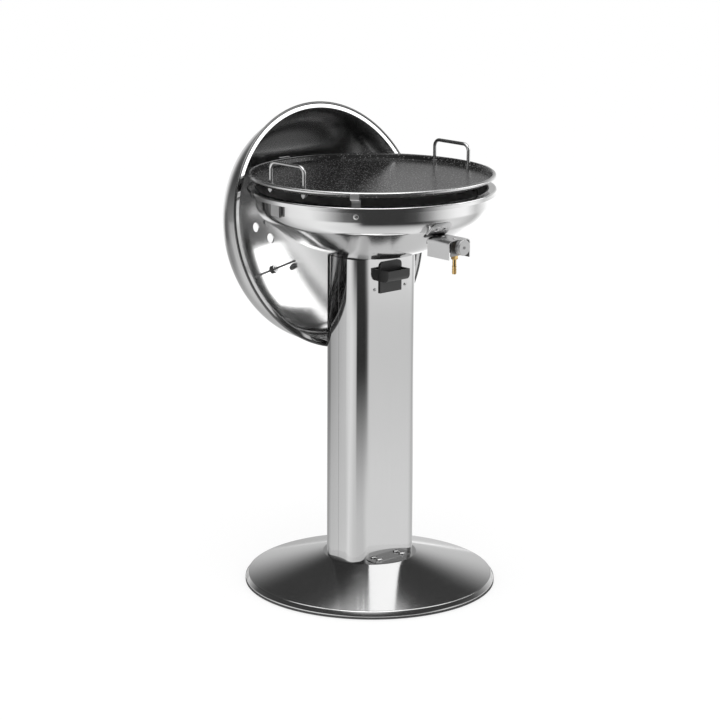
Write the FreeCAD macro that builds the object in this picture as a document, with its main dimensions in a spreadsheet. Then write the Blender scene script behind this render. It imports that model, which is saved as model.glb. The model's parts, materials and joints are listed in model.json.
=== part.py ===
import FreeCAD, Part
import math
import os
from types import SimpleNamespace

import Sketcher

# Gas barbecue on a spun foot and a folded column, in millimetres, +Z up.
# The origin is on the column's axis at floor level, and -Y is the front with the knob and the drip tray.

Vector = FreeCAD.Vector
Rotation = FreeCAD.Rotation
Placement = FreeCAD.Placement

# Driving sizes
SIZES = dict(
    # foot
    foot_radius=280, foot_edge=18, foot_bead=8, foot_flat_radius=104, foot_top=66, foot_sheet=1.5,
    foot_lift=1.5,
    pad_height=6, pad_radius=17, pad_bevel=1.5, pad_circle=-42, ballast_thick=6, ballast_gap=1.2,
    fixing_thick=5, fixing_radius=96, hub_radius=52, hub_wall=3,
    foot_bolt_x=34, foot_bolt_out=9, foot_bolt_size=8,
    # column
    column_width=190, column_depth=120, column_corner=36, column_sheet=1.5, column_top=750,
    seam_gap=0.6, flange_width=112, flange_depth=19, flange_corner=4,
    strap_width=36, strap_thick=1.5, strap_inset=14,
    top_plate_thick=3,
    # drip tray
    tray_width=56, tray_bottom=-74, tray_height=46, tray_back=46, tray_wall=1.2, tray_corner=6,
    tray_slot_margin=2,
    front_width=63.5, front_low=-78.5, front_height=68.5, front_thick=3, front_corner=10,
    pull_low=-52, pull_height=25, pull_depth=26, pull_wall=2.5, pull_round=13,
    guide_sheet=1.5, guide_height=26, guide_flange=24, guide_screw_x=45, guide_screw_z=-69,
    guide_screw_size=4, guide_nut_flats=7, guide_nut_height=3.2,
    rivet_x=18, rivet_z=-44, rivet_size=4, rivet_length=2,
    # bowl
    pad_thick=2.5, pad_inset=4, bowl_sheet=1.5, bowl_flat_radius=100, bowl_mid_radius=168,
    bowl_mid_rise=25.5, bowl_mid_bend=150,
    bowl_radius=252.5, bowl_knee=92, bowl_knee_bend=40, rim_radius=18.5, rim_top=145.5,
    rim_drop=11, bowl_bolt_x=62, bowl_bolt_y=30, bowl_bolt_size=8,
    spout_radius=11.6, spout_wall=1.2, spout_flange=20, spout_low=-24,
    clip_angle=175, clip_low=106, clip_height=24, clip_width=36, clip_fold=7, clip_thick=2,
    clip_boss_radius=5, clip_boss_height=1,
    # pan carriers
    carrier_width=19, carrier_thick=2.5, carrier_bend=3, carrier_low=112, carrier_gap=2.2,
    carrier_bolt_z=123, carrier_bolt_size=6, carrier_bolt_tail=8, carrier_nut_flats=10,
    carrier_nut_height=5, carrier_first_angle=220, tab_top=174,
    # burner
    ring_radius=140, ring_tube=10, ring_wall=1.2, ring_taper=3, mixer_radius=7.5, mixer_wall=1.2,
    mixer_mouth=9.5, mixer_mouth_length=8, mixer_cone_length=3, mixer_lap=2,
    leg_width=14, leg_thick=2, leg_bend=1, leg_foot=18, leg_first_angle=90,
    # valve and its guard
    valve_x=-20, valve_z=-35, guard_width=62, guard_height=40, guard_top=-20, guard_back=-23.5,
    guard_front=40.5, guard_sheet=2, guard_corner=9, guard_tab_x=-28, guard_tab_width=52,
    guard_tab_top=10, guard_screw_pitch=21, guard_screw_z=-4, guard_screw_size=5,
    guard_screw_tail=7, guard_nut_flats=8, guard_nut_height=4,
    bracket_width=44, bracket_drop=32, bracket_bend=3, bracket_back=-16.5,
    bracket_screw_front=25.5, bracket_screw_back=-9.5, bracket_screw_size=4,
    valve_radius=10, valve_length=34, nozzle_y=26, collar_flats=13, collar_top=-50, collar_height=13,
    nozzle_tip=-95, nozzle_radius=4.2, nozzle_barb=5, nozzle_bore=2.5, barb_count=3, barb_pitch=6,
    barb_length=5, barb_step=0.5, jet_radius=4.5, jet_length=12, jet_bevel=1.2, jet_lap=2,
    spindle_radius=3.9, spindle_relief=1, knob_radius=17, knob_length=11.5, knob_bevel=1.5,
    knob_gap=0.6, knob_bore_depth=8, knob_screw_radius=1.5, knob_screw_length=3,
    knob_screw_head=3, knob_screw_height=1.5, knob_screw_bevel=0.8, push_travel=3,
    # pan
    pan_sheet=2.5, pan_bottom=163, pan_floor_radius=6, pan_flare=4.5, pan_depth=14,
    pan_lip=6.5, pan_lip_drop=3.7, pan_corner=3,
    handle_x=-11.5, handle_span=107, handle_top=218, handle_rod=4, handle_bend=15, handle_tail=9.5,
    collar_radius=6.4, washer_radius=7.6, washer_height=1.4, pan_collar_height=7,
    nut_flats=13, nut_height=6.5, bolt_tail=2,
    # lid
    lid_radius=7.5, lid_height=-92.5, lid_shoulder=-79.4, lid_crown_reach=116, lid_straight=2, lid_sheet=1.5,
    lid_edge_radius=14, lid_edge_turn=7, lid_tilt=14, lid_centre_z=44,
    vent_x=-61, vent_y=-27, vent_circle=37, vent_hole=11, vent_turn=79, damper_radius=54,
    damper_sheet=1.2, damper_lug=8, damper_lug_width=14, damper_lug_lap=2, damper_lug_out=1,
    pivot_radius=4, pivot_cap=7, pivot_under=2, pivot_rim=1, pivot_dome=2.5,
    lid_handle_y=80, lid_handle_rise=42, lid_handle_tail=22, lid_rod=5, lid_handle_bend=18,
    lid_collar_radius=8.5, lid_collar_height=5, lid_nut_height=7,
    hook_width=30, hook_thick=2.5, hook_lip_gap=4, hook_lip_depth=2.6, hook_lip_bend=1,
    hook_arm=3, hook_bend=2, hook_flange=27, hook_rivet_x=8, hook_rivet_radius=2.4, hook_rivet_tail=3,
    dial_x=-66, dial_y=80, dial_radius=30, dial_depth=13, dial_wall=1.5, dial_stand=2.5,
    dial_back_bevel=2, bezel_width=2, bezel_thick=1.2, glass_thick=2, dial_pin_radius=1.2,
    dial_pin_drop=4.4, probe_radius=2.2, probe_length=62, probe_point=2, dial_neck=5, dial_neck_tail=2,
    dial_nut_flats=17, dial_nut_height=6, needle_length=22, needle_tail=6, needle_width=2.4,
    needle_tip=0.8, needle_thick=0.8, needle_hub_radius=3, needle_hub_height=1.2, needle_drop=6,
    needle_start=-215,
    # clearances
    slide_gap=0.3, hole_gap=0.3, rest_gap=0.3, seat_gap=0.05,
)

# Heights and reaches above that count from another size
COUNTED_FROM = {
    "column_top": (
        "tray_bottom front_low pull_low guide_screw_z rivet_z rim_top spout_low clip_low "
        "carrier_low carrier_bolt_z tab_top pan_bottom handle_top lid_centre_z bowl_knee"
    ),
    "bowl_knee": "valve_z guard_top guard_tab_top guard_screw_z collar_top nozzle_tip",
    "bowl_radius": (
        "rim_radius pan_floor_radius handle_x lid_radius lid_height guard_back guard_front "
        "bracket_back bracket_screw_front bracket_screw_back nozzle_y"
    ),
    "lid_radius": "lid_edge_radius",
    "lid_height": "lid_shoulder",
    "foot_radius": "pad_circle",
}

doc = FreeCAD.newDocument("barbecue")


class Size:
    """A value of the size sheet, or a sum of such values, that keeps its formula."""

    def __init__(self, value, text):
        self.value = float(value)
        self.text = text

    def _join(self, other, sign, flip=False):
        other = as_size(other)
        a, b = (other, self) if flip else (self, other)
        value = {
            "+": lambda: a.value + b.value,
            "-": lambda: a.value - b.value,
            "*": lambda: a.value * b.value,
            "/": lambda: a.value / b.value,
        }[sign]()
        return Size(value, "(%s %s %s)" % (a.text, sign, b.text))

    def __add__(self, other):
        return self._join(other, "+")

    def __radd__(self, other):
        return self._join(other, "+", True)

    def __sub__(self, other):
        return self._join(other, "-")

    def __rsub__(self, other):
        return self._join(other, "-", True)

    def __mul__(self, other):
        return self._join(other, "*")

    def __rmul__(self, other):
        return self._join(other, "*", True)

    def __truediv__(self, other):
        return self._join(other, "/")

    def __rtruediv__(self, other):
        return self._join(other, "/", True)

    def __neg__(self):
        return Size(-self.value, "(-%s)" % self.text)


def as_size(value):
    return value if isinstance(value, Size) else Size(value, repr(float(value)))


def root(a):
    return Size(math.sqrt(a.value), "sqrt(%s)" % a.text)


def sine(a):
    return Size(math.sin(math.radians(a.value)), "sin(%s)" % a.text)


def cosine(a):
    return Size(math.cos(math.radians(a.value)), "cos(%s)" % a.text)


def tangent(a):
    return Size(math.tan(math.radians(a.value)), "tan(%s)" % a.text)


def slope_angle(rise, run):
    """Angle in degrees of a slope."""
    ratio = rise / run
    return Size(math.degrees(math.atan(ratio.value)), "(atan(%s) / 1deg)" % ratio.text)


def fill_sheet():
    """Puts the driving sizes in the sheet and returns them as named sizes."""
    sheet = doc.addObject("Spreadsheet::Sheet", "Sizes")
    for row, (name, value) in enumerate(SIZES.items(), 1):
        sheet.set("A%d" % row, name)
        sheet.set("B%d" % row, str(value))
        sheet.setAlias("B%d" % row, name)
    doc.recompute()
    sizes = {name: Size(float(sheet.get(name)), "Sizes." + name) for name in SIZES}
    for start, names in COUNTED_FROM.items():
        for name in names.split():
            sizes[name] = sizes[start] + sizes[name]
    return SimpleNamespace(**sizes)


S = fill_sheet()

# Derived sizes
BALLAST_TOP = S.pad_height + S.ballast_thick
COLUMN_HALF_W = S.column_width / 2
COLUMN_HALF_D = S.column_depth / 2
FOOT_BOLT_Y = COLUMN_HALF_D + S.foot_bolt_out
BOWL_BOTTOM = S.column_top + S.pad_thick
BOWL_MID_Z = BOWL_BOTTOM + S.bowl_mid_rise
BOWL_FLOOR = BOWL_BOTTOM + S.bowl_sheet
BOWL_INNER = S.bowl_radius - S.bowl_sheet
PAN_FLOOR = S.pan_bottom + S.pan_sheet
PAN_WALL_TOP = S.pan_floor_radius + S.pan_flare
PAN_LIP_Z = S.pan_bottom + S.pan_depth - S.pan_sheet
PAN_EDGE = PAN_WALL_TOP + S.pan_lip
LID_SLOPE = slope_angle(S.lid_height - S.lid_shoulder, S.lid_radius - S.lid_crown_reach)
LID_CROWN = S.lid_crown_reach / tangent(LID_SLOPE / 2)
LID_RUN = (S.lid_radius - S.lid_crown_reach) / cosine(LID_SLOPE)
LID_KNUCKLE = (LID_RUN - S.lid_crown_reach - S.lid_straight) / tangent((90 - LID_SLOPE) / 2)
LID_SPHERE_Z = S.lid_height - LID_CROWN
LID_REACH = S.lid_edge_radius - S.lid_edge_turn / 2
LID_Y = (
    COLUMN_HALF_D + S.rest_gap + LID_REACH * sine(S.lid_tilt)
    + (S.lid_edge_radius - LID_REACH)
)
FRONT_BACK_Y = COLUMN_HALF_D + S.slide_gap
GUIDE_FACE_Y = COLUMN_HALF_D - S.column_sheet - S.seat_gap
KNOB_BACK = S.guard_front + S.push_travel + S.knob_gap
KNOB_FACE = KNOB_BACK + S.knob_length
VALVE_FRONT = S.guard_front - S.push_travel - S.guard_sheet
CARRIER_ANGLES = [S.carrier_first_angle.value + 120 * i for i in range(3)]
LEG_ANGLES = [S.leg_first_angle.value + 120 * i for i in range(3)]
OVER = 1  # how far a cutter runs past a face
DRILL_LENGTH = 30
SLIVER = 0.1  # how close an edge must lie to be picked
EXPORTS = []


def number(value):
    return value.value if isinstance(value, Size) else float(value)


def bind(thing, path, value):
    """Ties a property or constraint to the size sheet."""
    if isinstance(value, Size):
        thing.setExpression(path, value.text)


def keep(thing, label):
    """Names a finished sub-part and lists it for writing."""
    thing.Label = label
    EXPORTS.append(thing)
    return thing


# Sketch helpers


def pin_point(sketch, geo, pos, x, y):
    """Places one point of the sketch by its two distances from the origin."""
    for kind, value in (("DistanceX", x), ("DistanceY", y)):
        index = sketch.addConstraint(Sketcher.Constraint(kind, -1, 1, geo, pos, number(value)))
        bind(sketch, "Constraints[%d]" % index, value)


def draw_path(sketch, corners, closed):
    """Draws lines through the corners (x, y[, bend radius]) with an arc at each bend.

    An open path may end with an arc that meets the Y axis square.
    """
    count = len(corners)
    at = [Vector(number(c[0]), number(c[1]), 0) for c in corners]
    bends = [number(c[2]) if len(c) > 2 else 0.0 for c in corners]
    starts, ends, arcs = list(at), list(at), {}
    for i in range(count):
        if not bends[i]:
            continue
        back = (at[i - 1] - at[i]).normalize()
        ahead = (at[(i + 1) % count] - at[i]).normalize()
        half = back.getAngle(ahead) / 2
        reach = bends[i] / math.tan(half)
        ends[i] = at[i] + back * reach
        starts[i] = at[i] + ahead * reach
        centre = at[i] + (back + ahead).normalize() * (bends[i] / math.sin(half))
        left = back.cross(ahead).z < 0
        first, last = (ends[i], starts[i]) if left else (starts[i], ends[i])
        angles = [math.atan2(p.y - centre.y, p.x - centre.x) for p in (first, last)]
        arcs[i] = (centre, angles, left)
    domed = not closed and count - 2 in arcs and starts[count - 2].isEqual(at[count - 1], 1e-6)
    lines = {}
    for i in range(count if closed else count - 1 - domed):
        j = (i + 1) % count
        lines[i] = sketch.addGeometry(Part.LineSegment(starts[i], ends[j]), False)
    for i, (centre, angles, left) in arcs.items():
        circle = Part.Circle(centre, Vector(0, 0, 1), bends[i])
        arc = sketch.addGeometry(Part.ArcOfCircle(circle, angles[0], angles[1]), False)
        into, out = (1, 2) if left else (2, 1)
        before, after = lines[(i - 1) % count], lines.get(i)
        sketch.addConstraint(Sketcher.Constraint("Tangent", before, 2, arc, into))
        point = sketch.addGeometry(Part.Point(at[i]), True)
        pin_point(sketch, point, 1, corners[i][0], corners[i][1])
        sketch.addConstraint(Sketcher.Constraint("PointOnObject", point, 1, before))
        if after is None:
            pin_point(sketch, arc, out, corners[i + 1][0], corners[i + 1][1])
            sketch.addConstraint(Sketcher.Constraint("PointOnObject", arc, 3, -2))
            continue
        sketch.addConstraint(Sketcher.Constraint("Tangent", arc, out, after, 1))
        index = sketch.addConstraint(Sketcher.Constraint("Radius", arc, bends[i]))
        bind(sketch, "Constraints[%d]" % index, corners[i][2])
        sketch.addConstraint(Sketcher.Constraint("PointOnObject", point, 1, after))
    for i in range(count - domed):
        if i in arcs:
            continue
        if i in lines:
            pin_point(sketch, lines[i], 1, corners[i][0], corners[i][1])
            if (i - 1) % count in lines and (closed or i > 0):
                before = lines[(i - 1) % count]
                sketch.addConstraint(Sketcher.Constraint("Coincident", before, 2, lines[i], 1))
        else:
            pin_point(sketch, lines[i - 1], 2, corners[i][0], corners[i][1])


def draw_circle(sketch, x, y, radius):
    circle = Part.Circle(Vector(number(x), number(y), 0), Vector(0, 0, 1), number(radius))
    geo = sketch.addGeometry(circle, False)
    index = sketch.addConstraint(Sketcher.Constraint("Radius", geo, number(radius)))
    bind(sketch, "Constraints[%d]" % index, radius)
    pin_point(sketch, geo, 3, x, y)


def rectangle(x0, y0, x1, y1, bend=None):
    """Corners of a rectangle, all with the same bend."""
    points = [(x0, y0), (x1, y0), (x1, y1), (x0, y1)]
    return [p + (bend,) for p in points] if bend is not None else points


# Body helpers


def new_body(name):
    return doc.addObject("PartDesign::Body", name)


def sketch_on(body, plane, lift=None):
    """A sketch on one of the body's own planes, lifted along the plane's normal."""
    base = next(f for f in body.Origin.OriginFeatures if f.Role == plane)
    sketch = body.newObject("Sketcher::SketchObject", body.Name + "_sketch")
    sketch.AttachmentSupport = [(base, "")]
    sketch.MapMode = "FlatFace"
    if lift is not None:
        sketch.AttachmentOffset = Placement(Vector(0, 0, number(lift)), Rotation())
        bind(sketch, "AttachmentOffset.Base.z", lift)
    return sketch


def outline(body, plane, corners, lift=None):
    sketch = sketch_on(body, plane, lift)
    draw_path(sketch, corners, True)
    return sketch


def discs(body, plane, circles, lift=None):
    sketch = sketch_on(body, plane, lift)
    for x, y, radius in circles:
        draw_circle(sketch, x, y, radius)
    return sketch


def pad(body, sketch, length, middle=False, back=False):
    feature = body.newObject("PartDesign::Pad", body.Name + "_pad")
    feature.Profile = sketch
    feature.Length = number(length)
    bind(feature, "Length", length)
    feature.Midplane = middle
    feature.Reversed = back
    doc.recompute()
    return feature


def pocket(body, sketch, depth=None, back=False):
    """Cuts to a depth, or right through both ways when no depth is given."""
    before = body.Shape.Volume
    feature = body.newObject("PartDesign::Pocket", body.Name + "_pocket")
    feature.Profile = sketch
    if depth is None:
        feature.Type = "ThroughAll"
        feature.Midplane = True
    else:
        feature.Length = number(depth)
        bind(feature, "Length", depth)
    feature.Reversed = back
    doc.recompute()
    if not body.Shape.Volume < before - 0.01:
        raise RuntimeError("pocket cut nothing in " + body.Name)
    return feature


def revolve(body, sketch, axis="V_Axis"):
    feature = body.newObject("PartDesign::Revolution", body.Name + "_turn")
    feature.Profile = sketch
    feature.ReferenceAxis = (sketch, [axis])
    feature.Angle = 360
    doc.recompute()
    return feature


def bevel_edges(body, size, chosen):
    """Bevels the edges that the test picks."""
    base = body.Tip
    names = ["Edge%d" % (i + 1) for i, e in enumerate(base.Shape.Edges) if chosen(e)]
    feature = body.newObject("PartDesign::Chamfer", body.Name + "_bevel")
    feature.Base = (base, names)
    feature.Size = number(size)
    bind(feature, "Size", size)
    doc.recompute()
    return feature


def turned(name, corners):
    """A turned solid about the Z axis from a closed profile in (radius, z)."""
    body = new_body(name)
    revolve(body, outline(body, "XZ_Plane", corners))
    return body


def plate(name, corners, low, thick, holes=()):
    """A flat plate from a closed outline in (x, y), with round holes (x, y, radius)."""
    body = new_body(name)
    pad(body, outline(body, "XY_Plane", corners, low), thick)
    if holes:
        pocket(body, discs(body, "XY_Plane", holes, low))
    return body


def sheet_section(name, corners, thick):
    """The cut face of a bent sheet: a path in (radius or y, z), thickened to its left."""
    sketch = doc.addObject("Sketcher::SketchObject", name + "_path")
    sketch.Placement = Placement(Vector(0, 0, 0), Rotation(Vector(1, 0, 0), 90))
    draw_path(sketch, corners, False)
    doc.recompute()
    section = doc.addObject("Part::Offset2D", name + "_section")
    section.Source = sketch
    section.Fill = True
    section.Mode = "Skin"
    section.Join = "Intersection"
    section.Value = number(thick)
    bind(section, "Value", thick)
    doc.recompute()
    return section


def spun(name, corners, thick):
    """A spun sheet: the path turned about the Z axis."""
    feature = doc.addObject("Part::Revolution", name)
    feature.Source = sheet_section(name, corners, thick)
    feature.Axis = Vector(0, 0, 1)
    feature.Base = Vector(0, 0, 0)
    feature.Angle = 360
    feature.Solid = True
    doc.recompute()
    return feature


def folded(name, corners, thick, width):
    """A strip bent along the path in the XZ plane, with its width centred on Y."""
    feature = doc.addObject("Part::Extrusion", name)
    feature.Base = sheet_section(name, corners, thick)
    feature.DirMode = "Custom"
    feature.Dir = Vector(0, 1, 0)
    feature.LengthFwd = number(width)
    bind(feature, "LengthFwd", width)
    feature.Symmetric = True
    feature.Solid = True
    doc.recompute()
    return feature


def cylinder(name, radius, length, base, direction=(0, 0, 1)):
    """A round bar from a point along a direction."""
    rod = doc.addObject("Part::Cylinder", name)
    rod.Radius = number(radius)
    rod.Height = number(length)
    bind(rod, "Radius", radius)
    bind(rod, "Height", length)
    turn = Rotation(Vector(0, 0, 1), Vector(*direction))
    rod.Placement = Placement(Vector(*[number(v) for v in base]), turn)
    for letter, value in zip("xyz", base):
        bind(rod, "Placement.Base." + letter, value)
    return rod


def cut(name, base, tools):
    """The base less all the tools."""
    tool = tools[0]
    if len(tools) > 1:
        tool = doc.addObject("Part::MultiFuse", name + "_tools")
        tool.Shapes = tools
    result = doc.addObject("Part::Cut", name)
    result.Base = base
    result.Tool = tool
    doc.recompute()
    return result


def fuse(name, pieces):
    result = doc.addObject("Part::MultiFuse", name)
    result.Shapes = pieces
    doc.recompute()
    return result


def copies(label, source, places):
    """Separate equal solids, one at each placement."""
    doc.recompute()
    shapes = []
    for place in places:
        shape = source.Shape.copy()
        shape.Placement = place.multiply(shape.Placement)
        shapes.append(shape)
    feature = doc.addObject("Part::Feature", label)
    feature.Shape = Part.makeCompound(shapes)
    return keep(feature, label)


def about_z(angle):
    return Placement(Vector(0, 0, 0), Rotation(Vector(0, 0, 1), angle))


def shift(x, y, z, turn=None):
    return Placement(Vector(number(x), number(y), number(z)), turn or Rotation())


# Fasteners, all along +Z with the seat at z = 0


def dome_bolt(name, size, length, head=1.9, dome=0.5):
    """A bolt with a domed head above the seat and its shank below."""
    shank = size / 2
    wide = size * head / 2
    tall = size * dome
    return turned(name, [
        (0, -length),
        (shank, -length),
        (shank, 0),
        (wide, 0),
        (wide, tall * 0.4),
        (wide * 0.6, tall),
        (0, tall),
    ])


def hex_nut(name, flats, height, bore):
    """A hexagon nut below the seat."""
    prism = doc.addObject("Part::Prism", name + "_hexagon")
    prism.Polygon = 6
    prism.Circumradius = number(flats / math.sqrt(3))
    bind(prism, "Circumradius", flats / math.sqrt(3))
    prism.Height = number(height)
    bind(prism, "Height", height)
    prism.Placement = shift(0, 0, -number(height))
    bind(prism, "Placement.Base.z", -height)
    hole = cylinder(name + "_bore", bore, height + 2 * OVER, (0, 0, -height - OVER))
    return cut(name, prism, [hole])


# Foot


def make_foot():
    edge = S.foot_edge
    bead_in = S.foot_radius - S.foot_bead
    inner = S.foot_radius - S.foot_sheet
    skin = spun("base_disc_skin", [
        (inner, S.foot_lift),
        (inner, edge - S.foot_sheet, S.foot_bead - S.foot_sheet),
        (bead_in - S.foot_sheet / 2, edge - S.foot_sheet),
        (S.foot_flat_radius, S.foot_top - S.foot_sheet),
        (0, S.foot_top - S.foot_sheet),
    ], -S.foot_sheet)
    bolt_hole = S.foot_bolt_size / 2 + S.hole_gap
    spots = [(x, y) for x in (S.foot_bolt_x, -S.foot_bolt_x) for y in (FOOT_BOLT_Y, -FOOT_BOLT_Y)]
    holes = [
        cylinder("base_disc_hole", bolt_hole, S.foot_top, (x, y, S.foot_top / 2)) for x, y in spots
    ]
    keep(cut("base_disc", skin, holes), "base_disc")
    ballast = inner - S.ballast_gap
    keep(turned("base_ballast", rectangle(0, S.pad_height, ballast, BALLAST_TOP)), "base_ballast")
    fixing_top = S.foot_top - S.foot_sheet
    fixing_low = fixing_top - S.fixing_thick
    hub_in = S.hub_radius - S.hub_wall
    keep(turned("base_hub", rectangle(hub_in, BALLAST_TOP, S.hub_radius, fixing_low)), "base_hub")
    fixing = turned("base_fixing_plate", rectangle(0, fixing_low, S.fixing_radius, fixing_top))
    pocket(fixing, discs(fixing, "XY_Plane", [(x, y, bolt_hole) for x, y in spots]))
    keep(fixing, "base_fixing_plate")
    foot = turned("base_foot", [
        (0, 0),
        (S.pad_radius - S.pad_bevel, 0),
        (S.pad_radius, S.pad_bevel),
        (S.pad_radius, S.pad_height),
        (0, S.pad_height),
    ])
    copies("base_feet", foot, [
        about_z(60 * i).multiply(shift(S.pad_circle, 0, 0)) for i in range(6)
    ])
    seat = S.foot_top + S.column_sheet
    shank = S.column_sheet + S.foot_sheet + S.fixing_thick + S.nut_height + S.bolt_tail
    bolt = dome_bolt("foot_bolt", S.foot_bolt_size, shank)
    copies("foot_bolts", bolt, [shift(x, y, seat) for x, y in spots])
    nut = hex_nut("foot_nut", S.nut_flats, S.nut_height, S.foot_bolt_size / 2 + S.seat_gap)
    copies("foot_nuts", nut, [shift(x, y, fixing_low) for x, y in spots])


# Column


def make_column_half(label, front):
    """One folded half: a U of sheet with a foot flange, drawn with its flat face at -Y."""
    body = new_body(label)
    w, d, t = COLUMN_HALF_W, COLUMN_HALF_D, S.column_sheet
    seam = -S.seam_gap / 2
    corner, inner_corner = S.column_corner, S.column_corner - t
    pad(body, outline(body, "XY_Plane", [
        (-w, seam),
        (-w, -d, corner),
        (w, -d, corner),
        (w, seam),
        (w - t, seam),
        (w - t, t - d, inner_corner),
        (t - w, t - d, inner_corner),
        (t - w, seam),
    ], S.foot_top), S.column_top - S.foot_top)
    half = S.flange_width / 2
    out = -d - S.flange_depth
    pad(body, outline(body, "XY_Plane", [
        (-half, out, S.flange_corner),
        (half, out, S.flange_corner),
        (half, t - d),
        (-half, t - d),
    ], S.foot_top), t)
    bolt_hole = S.foot_bolt_size / 2 + S.hole_gap
    holes = [(x, -FOOT_BOLT_Y, bolt_hole) for x in (S.foot_bolt_x, -S.foot_bolt_x)]
    pocket(body, discs(body, "XY_Plane", holes, S.foot_top), t + OVER, back=True)
    if front:
        slot = S.tray_width / 2 + S.tray_slot_margin
        low = S.tray_bottom - S.tray_slot_margin
        high = S.front_low + S.front_height - S.tray_slot_margin
        sketch = outline(body, "XZ_Plane", [
            (-slot, low),
            (slot, low),
            (slot, high, S.front_corner - S.tray_slot_margin),
            (-slot, high, S.front_corner - S.tray_slot_margin),
        ])
        pocket(body, sketch, d + OVER, back=True)
        radius = S.guide_screw_size / 2 + S.hole_gap
        spots = [(x, S.guide_screw_z, radius) for x in (S.guide_screw_x, -S.guide_screw_x)]
        pocket(body, discs(body, "XZ_Plane", spots), d + OVER, back=True)
    else:
        body.Placement = about_z(180)
    doc.recompute()
    return keep(body, label)


def make_column():
    make_column_half("column_front", True)
    make_column_half("column_rear", False)
    inside = COLUMN_HALF_W - S.column_sheet - S.seat_gap
    low = S.foot_top + S.strap_inset
    high = S.column_top - S.top_plate_thick - S.strap_inset
    half = S.strap_width / 2
    strap = plate("column_strap", rectangle(inside - S.strap_thick, -half, inside, half), low, high - low)
    copies("column_straps", strap, [about_z(0), about_z(180)])
    x = COLUMN_HALF_W - S.column_sheet - S.seat_gap
    y = COLUMN_HALF_D - S.column_sheet - S.seat_gap
    corner = S.column_corner - S.column_sheet - S.seat_gap
    low = S.column_top - S.top_plate_thick
    top = plate("column_top_plate", rectangle(-x, -y, x, y, corner), low, S.top_plate_thick, bowl_holes())
    keep(top, "column_top_plate")


def bowl_bolt_spots():
    return [(x, y) for x in (S.bowl_bolt_x, -S.bowl_bolt_x) for y in (S.bowl_bolt_y, -S.bowl_bolt_y)]


def bowl_holes():
    """Bolt holes and spout hole, common to the top plate and the pad."""
    holes = [(x, y, S.bowl_bolt_size / 2 + S.hole_gap) for x, y in bowl_bolt_spots()]
    return holes + [(0, 0, S.spout_radius + S.hole_gap)]


# Drip tray


def make_tray():
    half = S.tray_width / 2
    front = -FRONT_BACK_Y
    t = S.tray_wall
    top = S.tray_bottom + S.tray_height
    box = new_body("grease_tray")
    shell = rectangle(-half, front, half, S.tray_back, S.tray_corner)
    pad(box, outline(box, "XY_Plane", shell, S.tray_bottom), S.tray_height)
    well = rectangle(t - half, front + t, half - t, S.tray_back - t, S.tray_corner - t)
    pocket(box, outline(box, "XY_Plane", well, top), S.tray_height - t)
    rivet_hole = S.rivet_size / 2 + S.hole_gap
    spots = [(x, S.rivet_z, rivet_hole) for x in (S.rivet_x, -S.rivet_x)]
    pocket(box, discs(box, "XZ_Plane", spots, -front - 2 * t), 4 * t, back=True)
    keep(box, "grease_tray")

    plate_low, plate_high = S.front_low, S.front_low + S.front_height
    wide = S.front_width / 2
    face = new_body("tray_front_blank")
    pad(face, outline(face, "XZ_Plane", [
        (-wide, plate_low),
        (wide, plate_low),
        (wide, plate_high, S.front_corner),
        (-wide, plate_high, S.front_corner),
    ], -front), S.front_thick)
    skin = front - S.front_thick
    reach = skin - S.pull_depth
    pull_top = S.pull_low + S.pull_height
    pad(face, outline(face, "YZ_Plane", [
        (skin + OVER, S.pull_low),
        (reach, S.pull_low, S.pull_round),
        (reach, pull_top),
        (skin + OVER, pull_top),
    ]), S.front_width, middle=True)
    inside = wide - S.pull_wall
    scoop = new_body("tray_pull_hollow")
    pad(scoop, outline(scoop, "YZ_Plane", [
        (skin, S.pull_low + S.pull_wall),
        (reach + S.pull_wall, S.pull_low + S.pull_wall, S.pull_round - S.pull_wall),
        (reach + S.pull_wall, pull_top + OVER),
        (skin, pull_top + OVER),
    ]), inside * 2, middle=True)
    rivet_holes = [
        cylinder("tray_front_rivet", S.rivet_size / 2 + S.seat_gap, S.rivet_length + S.seat_gap,
                 (x, front, S.rivet_z), (0, -1, 0))
        for x in (S.rivet_x, -S.rivet_x)
    ]
    keep(cut("tray_front", face, [scoop] + rivet_holes), "tray_front")

    rivet = dome_bolt("tray_rivet", S.rivet_size, t + S.rivet_length)
    copies("tray_rivets", rivet, [
        shift(x, front + t, S.rivet_z, Rotation(Vector(0, 0, 1), Vector(0, 1, 0)))
        for x in (S.rivet_x, -S.rivet_x)
    ])


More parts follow.
